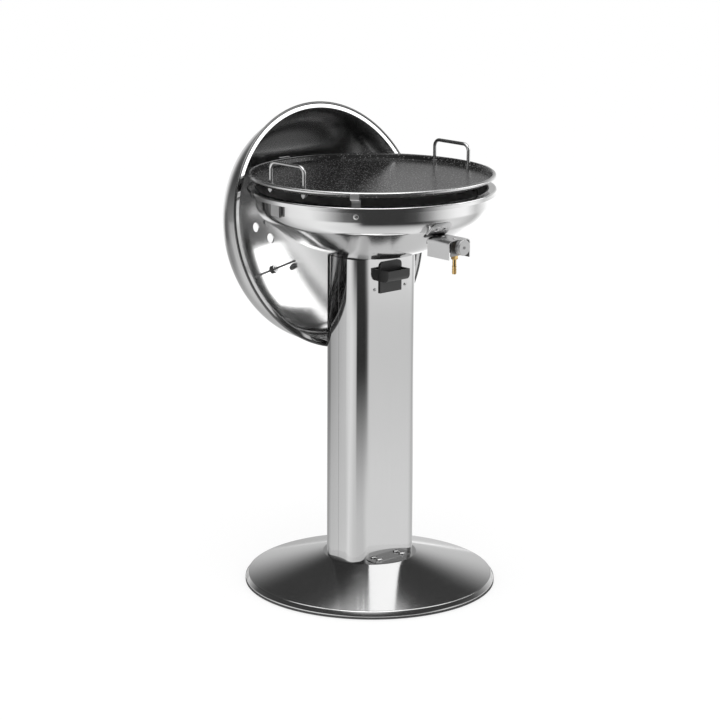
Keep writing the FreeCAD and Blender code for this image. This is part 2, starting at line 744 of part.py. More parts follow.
def make_tray_guide():
    t = S.guide_sheet
    inside = S.tray_width / 2 + S.slide_gap
    floor = S.tray_bottom - S.slide_gap
    top = floor + S.guide_height
    body = new_body("tray_guide")
    channel = outline(body, "XZ_Plane", [
        (-inside - t, floor - t),
        (inside + t, floor - t),
        (inside + t, top),
        (inside, top),
        (inside, floor),
        (-inside, floor),
        (-inside, top),
        (-inside - t, top),
    ], GUIDE_FACE_Y)
    pad(body, channel, GUIDE_FACE_Y + S.tray_back, back=True)
    near, far = inside + t, inside + t + S.guide_flange
    for low, high in ((near, far), (-far, -near)):
        flange = rectangle(low, floor - t, high, top)
        pad(body, outline(body, "XZ_Plane", flange, GUIDE_FACE_Y), t, back=True)
    radius = S.guide_screw_size / 2 + S.hole_gap
    spots = [(x, S.guide_screw_z, radius) for x in (S.guide_screw_x, -S.guide_screw_x)]
    pocket(body, discs(body, "XZ_Plane", spots))
    keep(body, "tray_guide")

    seat = COLUMN_HALF_D
    stack = S.column_sheet + S.guide_sheet + S.seat_gap
    screw_length = stack + S.guide_nut_height + S.bolt_tail
    screw = dome_bolt("tray_guide_screw", S.guide_screw_size, screw_length)
    outward = Rotation(Vector(0, 0, 1), Vector(0, -1, 0))
    copies("tray_guide_screws", screw, [
        shift(x, -seat, S.guide_screw_z, outward) for x in (S.guide_screw_x, -S.guide_screw_x)
    ])
    nut = hex_nut("tray_guide_nut", S.guide_nut_flats, S.guide_nut_height,
                  S.guide_screw_size / 2 + S.seat_gap)
    copies("tray_guide_nuts", nut, [
        shift(x, stack - seat, S.guide_screw_z, outward) for x in (S.guide_screw_x, -S.guide_screw_x)
    ])


# Bowl


def bowl_path():
    """Underside of the bowl from the drain out to the rolled rim."""
    under = S.rim_top - S.bowl_sheet
    edge = S.rim_radius - S.bowl_sheet
    return [
        (S.spout_radius + S.hole_gap, BOWL_BOTTOM),
        (S.bowl_flat_radius, BOWL_BOTTOM),
        (S.bowl_mid_radius, BOWL_MID_Z, S.bowl_mid_bend),
        (S.bowl_radius, S.bowl_knee, S.bowl_knee_bend),
        (S.bowl_radius, under),
        (edge, under),
        (edge, S.rim_top - S.rim_drop),
    ]


def make_bowl():
    skin = spun("bowl_skin", bowl_path(), S.bowl_sheet)
    tools = [
        cylinder("bowl_bolt_hole", S.bowl_bolt_size / 2 + S.hole_gap, S.bowl_sheet + 2 * OVER,
                 (x, y, BOWL_BOTTOM - OVER))
        for x, y in bowl_bolt_spots()
    ]
    tools.append(cylinder("bowl_inlet", S.mixer_radius + S.hole_gap, S.bowl_radius - S.ring_radius,
                          (S.valve_x, -S.bowl_radius, S.valve_z), (0, 1, 0)))
    for angle in CARRIER_ANGLES:
        out = Vector(math.cos(math.radians(angle)), math.sin(math.radians(angle)), 0)
        start = out * (BOWL_INNER.value - OVER)
        tools.append(cylinder("bowl_carrier_hole", S.carrier_bolt_size / 2 + S.hole_gap,
                              S.bowl_sheet + 2 * OVER,
                              (start.x, start.y, S.carrier_bolt_z), tuple(out)))
    screw_hole = S.guard_screw_size / 2 + S.hole_gap
    tools += [drill("bowl_guard_hole", place, 0, 0, screw_hole) for place in guard_screw_places()]
    keep(cut("bowl", skin, tools), "bowl")

    x = COLUMN_HALF_W - S.pad_inset
    y = COLUMN_HALF_D - S.pad_inset
    edge = rectangle(-x, -y, x, y, S.column_corner - S.pad_inset)
    keep(plate("bowl_pad", edge, S.column_top, S.pad_thick, bowl_holes()), "bowl_pad")

    stack = S.bowl_sheet + S.pad_thick + S.top_plate_thick
    bolt = dome_bolt("bowl_bolt", S.bowl_bolt_size, stack + S.nut_height + S.bolt_tail)
    copies("bowl_bolts", bolt, [shift(x, y, BOWL_FLOOR) for x, y in bowl_bolt_spots()])
    nut = hex_nut("bowl_nut", S.nut_flats, S.nut_height, S.bowl_bolt_size / 2 + S.seat_gap)
    under = S.column_top - S.top_plate_thick
    copies("bowl_nuts", nut, [shift(x, y, under) for x, y in bowl_bolt_spots()])

    inner = S.spout_radius - S.spout_wall
    floor = BOWL_FLOOR + S.seat_gap
    keep(turned("drain_spout", [
        (inner, S.spout_low),
        (S.spout_radius, S.spout_low),
        (S.spout_radius, floor),
        (S.spout_flange, floor),
        (S.spout_flange, floor + S.spout_wall),
        (inner, floor + S.spout_wall),
    ]), "drain_spout")


def make_side_clip():
    """A small plate on the bowl's left wall, with one side folded out."""
    body = new_body("side_clip_plate")
    face = S.bowl_radius + S.clip_boss_height
    half = S.clip_width / 2
    pad(body, outline(body, "XY_Plane", [
        (face, -half),
        (face + S.clip_thick, -half),
        (face + S.clip_thick, half - S.clip_thick),
        (face + S.clip_fold, half - S.clip_thick),
        (face + S.clip_fold, half),
        (face, half),
    ], S.clip_low), S.clip_height)
    boss = cylinder("side_clip_boss", S.clip_boss_radius, S.clip_boss_height,
                    (S.bowl_radius + S.seat_gap, 0, S.clip_low + S.clip_height / 2), (1, 0, 0))
    whole = fuse("side_clip_whole", [body, boss])
    whole.Placement = about_z(S.clip_angle.value)
    keep(whole, "side_clip")


# Pan carriers


def make_carriers():
    outer = BOWL_INNER - S.rest_gap
    under = S.pan_bottom - S.rest_gap - S.carrier_thick
    tab = PAN_EDGE + S.carrier_gap + S.carrier_thick
    strip = folded("pan_support_strip", [
        (outer, S.carrier_low),
        (outer, under, S.carrier_bend),
        (tab, under, S.carrier_bend),
        (tab, S.tab_top),
    ], S.carrier_thick, S.carrier_width)
    hole = cylinder("pan_support_hole", S.carrier_bolt_size / 2 + S.hole_gap, S.carrier_thick + 2 * OVER,
                    (outer - S.carrier_thick - OVER, 0, S.carrier_bolt_z), (1, 0, 0))
    carrier = cut("pan_support", strip, [hole])
    copies("pan_supports", carrier, [about_z(a) for a in CARRIER_ANGLES])
    outward = Rotation(Vector(0, 0, 1), Vector(1, 0, 0))
    length = S.bowl_sheet + S.rest_gap + S.carrier_thick + S.carrier_bolt_tail
    bolt = dome_bolt("support_bolt", S.carrier_bolt_size, length)
    head = shift(S.bowl_radius + S.hole_gap, 0, S.carrier_bolt_z, outward)
    copies("support_bolts", bolt, [about_z(a).multiply(head) for a in CARRIER_ANGLES])
    nut = hex_nut("support_nut", S.carrier_nut_flats, S.carrier_nut_height,
                  S.carrier_bolt_size / 2 + S.seat_gap)
    seat = shift(outer - S.carrier_thick, 0, S.carrier_bolt_z, outward)
    copies("support_nuts", nut, [about_z(a).multiply(seat) for a in CARRIER_ANGLES])


# Burner


def make_burner():
    z, tube, wall = S.valve_z, S.ring_tube, S.ring_wall
    top, low = z + tube, z - tube
    out, inner = S.ring_radius + tube, S.ring_radius - tube
    ring = new_body("burner_ring_tube")
    sketch = sketch_on(ring, "XZ_Plane")
    slant = S.ring_taper
    draw_path(sketch, [
        (inner, low),
        (out, low),
        (out, z),
        (out - slant, top),
        (inner + slant, top),
        (inner, z),
    ], True)
    draw_path(sketch, [
        (inner + wall, low + wall),
        (out - wall, low + wall),
        (out - wall, z),
        (out - wall - slant, top - wall),
        (inner + wall + slant, top - wall),
        (inner + wall, z),
    ], True)
    revolve(ring, sketch)
    inlet = cylinder("burner_ring_inlet", S.mixer_radius + S.seat_gap, tube + tube / 2,
                     (S.valve_x, -out, z), (0, 1, 0))
    keep(cut("burner_ring", ring, [inlet]), "burner_ring")

    mouth = VALVE_FRONT - S.valve_length - S.jet_length + S.jet_lap
    cone = mouth - S.mixer_mouth_length
    neck = cone - S.mixer_cone_length
    tip = S.ring_radius + S.mixer_lap
    bore = S.mixer_radius - S.mixer_wall
    tube_body = new_body("burner_tube")
    sketch = sketch_on(tube_body, "YZ_Plane", S.valve_x)
    draw_path(sketch, [
        (-mouth, z + S.mixer_mouth - S.mixer_wall),
        (-mouth, z + S.mixer_mouth),
        (-cone, z + S.mixer_mouth),
        (-neck, z + S.mixer_radius),
        (-tip, z + S.mixer_radius),
        (-tip, z + bore),
        (-neck, z + bore),
    ], True)
    ends = [Vector(-number(y), number(z), 0) for y in (mouth, tip)]
    axis = sketch.addGeometry(Part.LineSegment(*ends), True)
    pin_point(sketch, axis, 1, -mouth, z)
    pin_point(sketch, axis, 2, -tip, z)
    revolve(tube_body, sketch, "Axis0")
    keep(tube_body, "burner_tube")

    rise = S.bowl_mid_rise / (S.bowl_mid_radius - S.bowl_flat_radius)
    skin = S.bowl_sheet * root(1 + rise * rise)
    foot_z = BOWL_BOTTOM + skin + (S.ring_radius - S.bowl_flat_radius) * rise + S.rest_gap
    leg = folded("burner_leg", [
        (S.ring_radius, low - S.rest_gap),
        (S.ring_radius, foot_z, S.leg_bend),
        (S.ring_radius - S.leg_foot, foot_z - S.leg_foot * rise),
    ], -S.leg_thick, S.leg_width)
    copies("burner_legs", leg, [about_z(a) for a in LEG_ANGLES])


# Valve, guard and knob


def guard_screw_places():
    """Placements on the bowl's knee, square to it, at the two screws of the guard's tab."""
    centre_r, centre_z = [v.value for v in knee_centre()]
    bend = S.bowl_knee_bend.value
    tilt = math.asin((centre_z - S.guard_screw_z.value) / bend)
    ring = centre_r + bend * math.cos(tilt)
    places = []
    for x in (S.guard_tab_x - S.guard_screw_pitch / 2, S.guard_tab_x + S.guard_screw_pitch / 2):
        y = -math.sqrt(ring * ring - x.value * x.value)
        around = math.atan2(y, x.value)
        out = Vector(math.cos(tilt) * math.cos(around), math.cos(tilt) * math.sin(around), -math.sin(tilt))
        places.append(Placement(Vector(x.value, y, S.guard_screw_z.value), Rotation(Vector(0, 0, 1), out)))
    return places


def drill(name, place, x, y, radius):
    """A drill at (x, y) of a placement, along its z axis and centred on its plane."""
    bar = doc.addObject("Part::Cylinder", name)
    bar.Radius = number(radius)
    bind(bar, "Radius", radius)
    bar.Height = DRILL_LENGTH
    bar.Placement = place.multiply(shift(x, y, -DRILL_LENGTH / 2))
    return bar


def knee_centre():
    """Centre of the bowl's knee arc in (radius, z)."""
    rise = S.bowl_knee - BOWL_MID_Z
    run = S.bowl_radius - S.bowl_mid_radius
    length = root(rise * rise + run * run)
    offset = S.bowl_knee_bend * (length - rise) / run
    return S.bowl_radius - S.bowl_knee_bend, S.bowl_knee + offset


def make_guard():
    half, t = S.guard_width / 2, S.guard_sheet
    low = S.guard_top - S.guard_height
    x0, x1 = S.valve_x - half, S.valve_x + half
    body = new_body("valve_guard_cover")
    pad(body, outline(body, "XZ_Plane", [
        (x0, low),
        (x0, S.guard_top, S.guard_corner),
        (x1, S.guard_top, S.guard_corner),
        (x1, low),
        (x1 - t, low),
        (x1 - t, S.guard_top - t, S.guard_corner - t),
        (x0 + t, S.guard_top - t, S.guard_corner - t),
        (x0 + t, low),
    ], S.guard_front), S.guard_front - S.guard_back, back=True)
    pocket(body, discs(body, "XY_Plane", bracket_holes()))
    tab = doc.addObject("Part::Feature", "valve_guard_tab")
    tab.Shape = guard_tab_shape()
    whole = fuse("valve_guard_blank", [body, tab])
    screw_hole = S.guard_screw_size / 2 + S.hole_gap
    holes = [drill("valve_guard_hole", place, 0, 0, screw_hole) for place in guard_screw_places()]
    keep(cut("valve_guard", whole, holes), "valve_guard")


def bracket_holes():
    """Screw holes common to the guard's top and the valve bracket."""
    radius = S.bracket_screw_size / 2 + S.hole_gap
    return [(S.valve_x, -y, radius) for y in (S.bracket_screw_front, S.bracket_screw_back)]


def guard_tab_shape():
    """The guard's tab, rolled to lie on the bowl's knee, with rounded upper corners."""
    centre_r, centre_z = [v.value for v in knee_centre()]
    incline = math.atan2((S.bowl_knee - BOWL_MID_Z).value, (S.bowl_radius - S.bowl_mid_radius).value)
    near = S.bowl_knee_bend.value + S.rest_gap.value
    far = near + S.guard_sheet.value
    low = (S.guard_top - S.guard_sheet).value
    high = S.guard_tab_top.value

    def side(radius):
        """Foot, bend and head of the tab's face at this radius of the knee."""
        def on_arc(angle):
            return Vector(centre_r + radius * math.cos(angle), 0, centre_z - radius * math.sin(angle))

        first, last = math.pi / 2 - incline, math.asin((centre_z - high) / radius)
        bend = on_arc(first)
        foot = bend - Vector(1 / math.tan(incline), 0, 1) * (bend.z - low)
        return foot, bend, on_arc((first + last) / 2), on_arc(last)

    edges = []
    for radius in (near, far):
        foot, bend, middle, head = side(radius)
        edges += [Part.makeLine(foot, bend), Part.Arc(bend, middle, head).toShape()]
    edges += [Part.makeLine(side(near)[i], side(far)[i]) for i in (0, 3)]
    section = Part.Face(Part.Wire(Part.sortEdges(edges)[0]))
    sweep = 40
    around = section.revolve(Vector(0, 0, 0), Vector(0, 0, 1), sweep)
    middle = math.degrees(math.atan2(-S.guard_back.value, S.guard_tab_x.value))
    around.rotate(Vector(0, 0, 0), Vector(0, 0, 1), middle - sweep / 2)
    width, depth = S.guard_tab_width.value, S.guard_front.value
    frame = Part.makeBox(width, depth, high - low, Vector(S.guard_tab_x.value - width / 2, -depth, low))
    upper = [e for e in frame.Edges if e.BoundBox.ZMin > high - SLIVER and e.BoundBox.XLength < SLIVER]
    return around.common(frame.makeFillet(S.guard_corner.value, upper))


def make_valve():
    t = S.guard_sheet
    top = S.guard_top - t - S.seat_gap
    half = S.bracket_width / 2
    front = VALVE_FRONT
    bracket = new_body("valve_bracket")
    shape = outline(bracket, "YZ_Plane", [
        (-S.bracket_back, top),
        (-front - t, top, S.bracket_bend),
        (-front - t, top - S.bracket_drop),
        (-front, top - S.bracket_drop),
        (-front, top - t),
        (-S.bracket_back, top - t),
    ], S.valve_x)
    pad(bracket, shape, S.bracket_width, middle=True)
    relief = [(S.valve_x, S.valve_z, S.spindle_radius + S.spindle_relief)]
    pocket(bracket, discs(bracket, "XZ_Plane", relief, front + t + OVER), t + 2 * OVER)
    pocket(bracket, discs(bracket, "XY_Plane", bracket_holes(), top + OVER), t + 2 * OVER)
    keep(bracket, "valve_bracket")

    body = new_body("valve_body")
    pad(body, discs(body, "XZ_Plane", [(S.valve_x, S.valve_z, S.valve_radius)], front - S.seat_gap),
        S.valve_length, back=True)
    pad(body, discs(body, "XY_Plane", [(S.valve_x, -S.nozzle_y, S.collar_flats / 2)], S.collar_top),
        S.valve_z - S.collar_top)
    bore = S.spindle_radius + S.hole_gap
    depth = S.valve_length / 2
    pocket(body, discs(body, "XZ_Plane", [(S.valve_x, S.valve_z, bore)], front + OVER), depth + OVER)
    keep(body, "valve_body")

    rear = front - S.valve_length - S.seat_gap * 2
    jet = new_body("gas_jet")
    pad(jet, discs(jet, "XZ_Plane", [(S.valve_x, S.valve_z, S.jet_radius)], rear), S.jet_length, back=True)
    bevel_edges(jet, S.jet_bevel, lambda e: abs(e.CenterOfMass.y + (rear - S.jet_length).value) < SLIVER)
    keep(jet, "gas_jet")

    spindle_out = KNOB_BACK + S.knob_bore_depth - S.seat_gap
    spindle_in = front - depth + S.push_travel + OVER
    spindle = new_body("valve_spindle")
    pad(spindle, discs(spindle, "XZ_Plane", [(S.valve_x, S.valve_z, S.spindle_radius)], spindle_out),
        spindle_out - spindle_in, back=True)
    keep(spindle, "valve_spindle")

    stem = S.collar_top - S.seat_gap
    collar_low = stem - S.collar_height
    barbs = []
    for i in range(int(S.barb_count.value)):
        crest = S.nozzle_tip + S.barb_length + i * S.barb_pitch
        barbs += [(S.nozzle_barb, crest), (S.nozzle_radius, crest + S.barb_step)]
    barb = turned("hose_nozzle_stem", [
        (S.nozzle_bore, S.nozzle_tip),
        (S.nozzle_radius, S.nozzle_tip),
    ] + barbs + [
        (S.nozzle_radius, collar_low + OVER),
        (S.nozzle_bore, collar_low + OVER),
    ])
    barb.Placement = shift(S.valve_x, -S.nozzle_y, 0)
    collar = hex_nut("hose_nozzle_collar", S.collar_flats, S.collar_height, S.nozzle_bore)
    collar.Placement = shift(S.valve_x, -S.nozzle_y, stem)
    keep(fuse("hose_nozzle", [barb, collar]), "hose_nozzle")

    screw = dome_bolt("bracket_screw", S.bracket_screw_size, S.guard_sheet * 2 + S.seat_gap)
    copies("bracket_screws", screw, [
        shift(S.valve_x, -y, S.guard_top) for y in (S.bracket_screw_front, S.bracket_screw_back)
    ])
    make_guard_screws()
    make_knob()


def make_guard_screws():
    """Screws and nuts through the guard's tab and the bowl's knee, square to the sheet."""
    seat = S.rest_gap + S.guard_sheet + S.seat_gap
    stack = seat + S.bowl_sheet + S.seat_gap
    screw = dome_bolt("guard_screw", S.guard_screw_size, stack + S.guard_screw_tail)
    nut = hex_nut("guard_nut", S.guard_nut_flats, S.guard_nut_height,
                  S.guard_screw_size / 2 + S.seat_gap)
    inside = -S.bowl_sheet - S.rest_gap
    for label, source, height in (("guard_screws", screw, seat), ("guard_nuts", nut, inside)):
        copies(label, source, [place.multiply(shift(0, 0, height)) for place in guard_screw_places()])


def make_knob():
    body = new_body("knob")
    pad(body, discs(body, "XZ_Plane", [(S.valve_x, S.valve_z, S.knob_radius)], KNOB_FACE),
        S.knob_length, back=True)
    bevel_edges(body, S.knob_bevel, lambda e: abs(e.CenterOfMass.y + KNOB_FACE.value) < SLIVER)
    bore = S.spindle_radius + S.seat_gap
    pocket(body, discs(body, "XZ_Plane", [(S.valve_x, S.valve_z, bore)], KNOB_BACK - OVER),
           S.knob_bore_depth + OVER, back=True)
    screw_bore = S.knob_screw_radius + SLIVER
    pocket(body, discs(body, "XZ_Plane", [(S.valve_x, S.valve_z, screw_bore)], KNOB_FACE + OVER),
           S.knob_length + 2 * OVER)
    keep(body, "knob")
    screw = new_body("knob_screw")
    head = KNOB_FACE + S.seat_gap
    front = head + S.knob_screw_height
    outline = discs(screw, "XZ_Plane", [(S.valve_x, S.valve_z, S.knob_screw_head)], head)
    pad(screw, outline, S.knob_screw_height)
    pad(screw, discs(screw, "XZ_Plane", [(S.valve_x, S.valve_z, S.knob_screw_radius)], head),
        S.knob_screw_length, back=True)
    bevel_edges(screw, S.knob_screw_bevel, lambda e: abs(e.CenterOfMass.y + front.value) < SLIVER / 2)
    keep(screw, "knob_screw")


# Pan


def rod_handle(name, half_span, top, low, bend, rod):
    """A round bar bent to a square loop in the YZ plane."""
    body = new_body(name)
    spine = sketch_on(body, "YZ_Plane")
    draw_path(spine, [
        (-half_span, low),
        (-half_span, top, bend),
        (half_span, top, bend),
        (half_span, low),
    ], False)
    section = sketch_on(body, "XY_Plane", low)
    draw_circle(section, 0, -half_span, rod)
    doc.recompute()
    pipe = body.newObject("PartDesign::AdditivePipe", name + "_pipe")
    pipe.Profile = section
    pipe.Spine = (spine, ["Edge%d" % (i + 1) for i in range(5)])
    doc.recompute()
    return body


def make_pan():
    skin = spun("pan_skin", [
        (0, S.pan_bottom),
        (S.pan_floor_radius - S.pan_corner, S.pan_bottom),
        (S.pan_floor_radius, S.pan_bottom + S.pan_corner),
        (PAN_WALL_TOP, PAN_LIP_Z),
        (PAN_EDGE - S.pan_sheet, PAN_LIP_Z),
        (PAN_EDGE - S.pan_sheet, PAN_LIP_Z - S.pan_lip_drop),
    ], S.pan_sheet)
    half = S.handle_span / 2
    spots = [(x, y) for x in (-S.handle_x, S.handle_x) for y in (-half, half)]
    holes = [
        cylinder("pan_handle_hole", S.handle_rod + S.hole_gap, S.pan_depth, (x, y, S.pan_bottom - OVER))
        for x, y in spots
    ]
    keep(cut("pan", skin, holes), "pan")
    for label, x in (("pan_handle_left", -S.handle_x), ("pan_handle_right", S.handle_x)):
        low = S.pan_bottom - S.handle_tail
        body = rod_handle(label, half, S.handle_top, low, S.handle_bend, S.handle_rod)
        body.Placement = shift(x, 0, 0)
        keep(body, label)
    bore = S.handle_rod + S.seat_gap
    collar = turned("handle_collar", [
        (bore, 0),
        (S.washer_radius, 0),
        (S.washer_radius, S.washer_height),
        (S.collar_radius, S.washer_height),
        (S.collar_radius, S.pan_collar_height),
        (bore, S.pan_collar_height),
    ])
    copies("handle_collars", collar, [shift(x, y, PAN_FLOOR + S.seat_gap) for x, y in spots])
    nut = hex_nut("handle_nut", S.nut_flats, S.nut_height, bore)
    copies("handle_nuts", nut, [shift(x, y, S.pan_bottom - S.seat_gap) for x, y in spots])


# Lid, drawn lying flat with its rim at z = 0 and then hung


def lid_place():
    """The lid's place when it hangs behind the bowl."""
    return Placement(
        Vector(0, LID_Y.value, S.lid_centre_z.value),
        Rotation(Vector(1, 0, 0), -(90 + S.lid_tilt.value)),
    )


def hang(thing, label):
    """Hangs a piece that was drawn with the lid lying flat."""
    thing.Placement = lid_place().multiply(thing.Placement)
    return keep(thing, label)


def to_lid(y, z):
    """A point behind the bowl, in the lying lid's own (y, z)."""
    back, up = y - LID_Y, z - S.lid_centre_z
    c, s = cosine(S.lid_tilt), sine(S.lid_tilt)
    return -(back * s + up * c), back * c - up * s


def crown_normal(x, y):
    """Outward direction of the lid's crown above (x, y)."""
    radius = LID_CROWN.value
    height = math.sqrt(radius ** 2 - number(x) ** 2 - number(y) ** 2)
    return Vector(number(x), number(y), height) * (1 / radius)


def on_crown(x, y, lift):
    """Placement on the crown's outer face with its own z axis square to it."""
    normal = crown_normal(x, y)
    centre = Vector(0, 0, LID_SPHERE_Z.value)
    place = centre + normal * (LID_CROWN.value + number(lift))
    return Placement(place, Rotation(Vector(0, 0, 1), normal))


def vent_spots(circle):
    """Hole centres round the damper's pivot, in the vent's own plane."""
    angles = [math.radians(S.vent_turn.value + 90 * i) for i in range(4)]
    return [(circle * math.cos(a), circle * math.sin(a)) for a in angles]


def make_lid_shell():
    t = S.lid_sheet
    edge = S.lid_edge_radius - t
    skin = spun("lid_shell_skin", [
        (edge, S.lid_edge_turn),
        (edge, t),
        (S.lid_radius, t),
        (S.lid_radius, S.lid_shoulder, LID_KNUCKLE),
        (S.lid_crown_reach, S.lid_height, LID_CROWN),
        (0, S.lid_height),
    ], t)
    vent = on_crown(S.vent_x, S.vent_y, 0)
    drills = [
        drill("lid_vent_hole", vent, x, y, S.vent_hole) for x, y in vent_spots(S.vent_circle.value)
    ]
    drills.append(drill("lid_pivot_hole", vent, 0, 0, S.pivot_radius + S.hole_gap))
    dial = on_crown(S.dial_x, S.dial_y, 0)
    drills.append(drill("lid_dial_hole", dial, 0, 0, S.dial_neck + S.hole_gap))
    for y in (S.lid_handle_y, -S.lid_handle_y):
        drills.append(cylinder("lid_handle_hole", S.lid_rod + S.hole_gap, DRILL_LENGTH,
                               (0, y, S.lid_height - DRILL_LENGTH)))
    for x, place in hook_rivet_places():
        drills.append(drill("lid_hook_hole", place, 0, 0, S.hook_rivet_radius + S.hole_gap))
    hang(cut("lid_shell", skin, drills), "lid_shell")


def hook_rivet_places():
    """Where the hook's rivets pass the crown, as (x, placement) pairs."""
    points = hook_points()
    middle = (points[2][0].value + points[3][0].value) / 2
    return [(x, on_crown(x, middle, 0)) for x in (S.hook_rivet_x.value, -S.hook_rivet_x.value)]


def hook_points():
    """Path of the hook's lower face, from its lip over the bowl rim to the lid."""
    seat = S.rim_top + S.rest_gap
    lip_y = BOWL_INNER - S.hook_lip_gap
    lip = to_lid(lip_y, S.rim_top - S.hook_lip_depth)
    corner = to_lid(lip_y, seat)
    inner = LID_CROWN - S.lid_sheet - S.rest_gap

    def crown_z(y):
        return LID_SPHERE_Z + root(inner * inner - y * y)

    slope = sine(S.lid_tilt) / cosine(S.lid_tilt)
    reach = crown_z(corner[0]) - corner[1] - S.hook_arm
    bend_y = corner[0] - reach * slope
    bend = (bend_y, crown_z(bend_y))
    end_y = bend_y - S.hook_flange
    return [lip, corner, bend, (end_y, crown_z(end_y))]


def make_hook():
    lip, corner, bend, end = hook_points()
    path = [lip, corner + (S.hook_lip_bend,), bend + (S.hook_bend,), end]
    strip = folded("lid_hook_strip", path, S.hook_thick, S.hook_width)
    strip.Placement = Placement(Vector(0, 0, 0), Rotation(Vector(0, 0, 1), 90))
    drills = [
        drill("hook_hole", place, 0, 0, S.hook_rivet_radius + S.hole_gap)
        for _, place in hook_rivet_places()
    ]
    hang(cut("lid_hook", strip, drills), "lid_hook")
    length = S.lid_sheet + S.hook_thick + S.hook_rivet_tail
    rivet = dome_bolt("hook_rivet", S.hook_rivet_radius * 2, length)
    copies("hook_rivets", rivet, [
        lid_place().multiply(place).multiply(shift(0, 0, S.seat_gap * 2))
        for _, place in hook_rivet_places()
    ])


def make_lid_handle():
    low = S.lid_height - S.lid_handle_tail
    top = S.lid_height + S.lid_handle_rise
    handle = rod_handle("lid_handle", S.lid_handle_y, top, low, S.lid_handle_bend, S.lid_rod)
    hang(handle, "lid_handle")
    drop = LID_CROWN - root(LID_CROWN * LID_CROWN - S.lid_handle_y * S.lid_handle_y)
    face = S.lid_height - drop
    bore = S.lid_rod + S.seat_gap
    dip = S.lid_collar_radius * S.lid_handle_y / LID_CROWN
    high = face + S.lid_collar_height
    collar = turned("lid_handle_collar", rectangle(bore, face - 2 * dip, S.lid_collar_radius, high))
    low = face - dip - S.lid_nut_height
    nut = turned("lid_handle_nut", rectangle(bore, low, S.nut_flats / 2, face))
    crown = ball("lid_handle_crown", LID_CROWN + S.seat_gap)
    under = ball("lid_handle_ceiling", LID_CROWN - S.lid_sheet - S.seat_gap)
    for label, blank, tool, feature in (
        ("lid_handle_collars", collar, crown, "Part::Cut"),
        ("lid_handle_nuts", nut, under, "Part::MultiCommon"),
    ):
        moved = doc.addObject("Part::Feature", label + "_blank")
        moved.Shape = blank.Shape
        moved.Placement = shift(0, S.lid_handle_y, 0)
        if feature == "Part::Cut":
            scribed = cut(label + "_scribed", moved, [tool])
        else:
            scribed = doc.addObject(feature, label + "_scribed")
            scribed.Shapes = [moved, tool]
            doc.recompute()
        group = copies(label, scribed, [about_z(0), about_z(180)])
        group.Placement = lid_place()


def ball(name, radius):
    """A ball on the centre of the lid's crown."""
    sphere = doc.addObject("Part::Sphere", name)
    sphere.Radius = number(radius)
    bind(sphere, "Radius", radius)
    sphere.Placement = shift(0, 0, LID_SPHERE_Z)
    bind(sphere, "Placement.Base.z", LID_SPHERE_Z)
    return sphere


def make_damper():
    """A dished disc that lies over the vent and turns about its own pivot."""
    reach, t = S.damper_radius, S.damper_sheet
    edge_drop = LID_CROWN - root(LID_CROWN * LID_CROWN - reach * reach)
    slope = edge_drop / reach
    lift = S.rest_gap + edge_drop / 4
    bore = S.pivot_radius + S.seat_gap
    damper = turned("vent_damper", [
        (bore, lift - bore * slope),
        (reach, lift - edge_drop),
        (reach, lift - edge_drop + t),
        (bore, lift - bore * slope + t),
    ])
    holes = [(x, y, S.vent_hole) for x, y in vent_spots(S.vent_circle)]
    pocket(damper, discs(damper, "XY_Plane", holes))
    lug_low = lift - edge_drop + t / 2
    half = S.damper_lug_width / 2
    lug = rectangle(reach - S.damper_lug_lap, -half, reach + S.damper_lug_out, half)
    pad(damper, outline(damper, "XY_Plane", lug, lug_low), S.damper_lug)
    damper.Placement = on_crown(S.vent_x, S.vent_y, 0)
    hang(damper, "vent_damper")
    high = lift + t + S.seat_gap
    low = -S.lid_sheet - S.rest_gap
    pivot = turned("damper_pivot", [
        (0, low - S.pivot_under),
        (S.pivot_cap, low - S.pivot_under),
        (S.pivot_cap, low),
        (S.pivot_radius, low),
        (S.pivot_radius, high),
        (S.pivot_cap, high),
        (S.pivot_cap, high + S.pivot_rim),
        (S.pivot_radius, high + S.pivot_dome),
        (0, high + S.pivot_dome),
    ])
    pivot.Placement = on_crown(S.vent_x, S.vent_y, 0)
    hang(pivot, "damper_pivot")


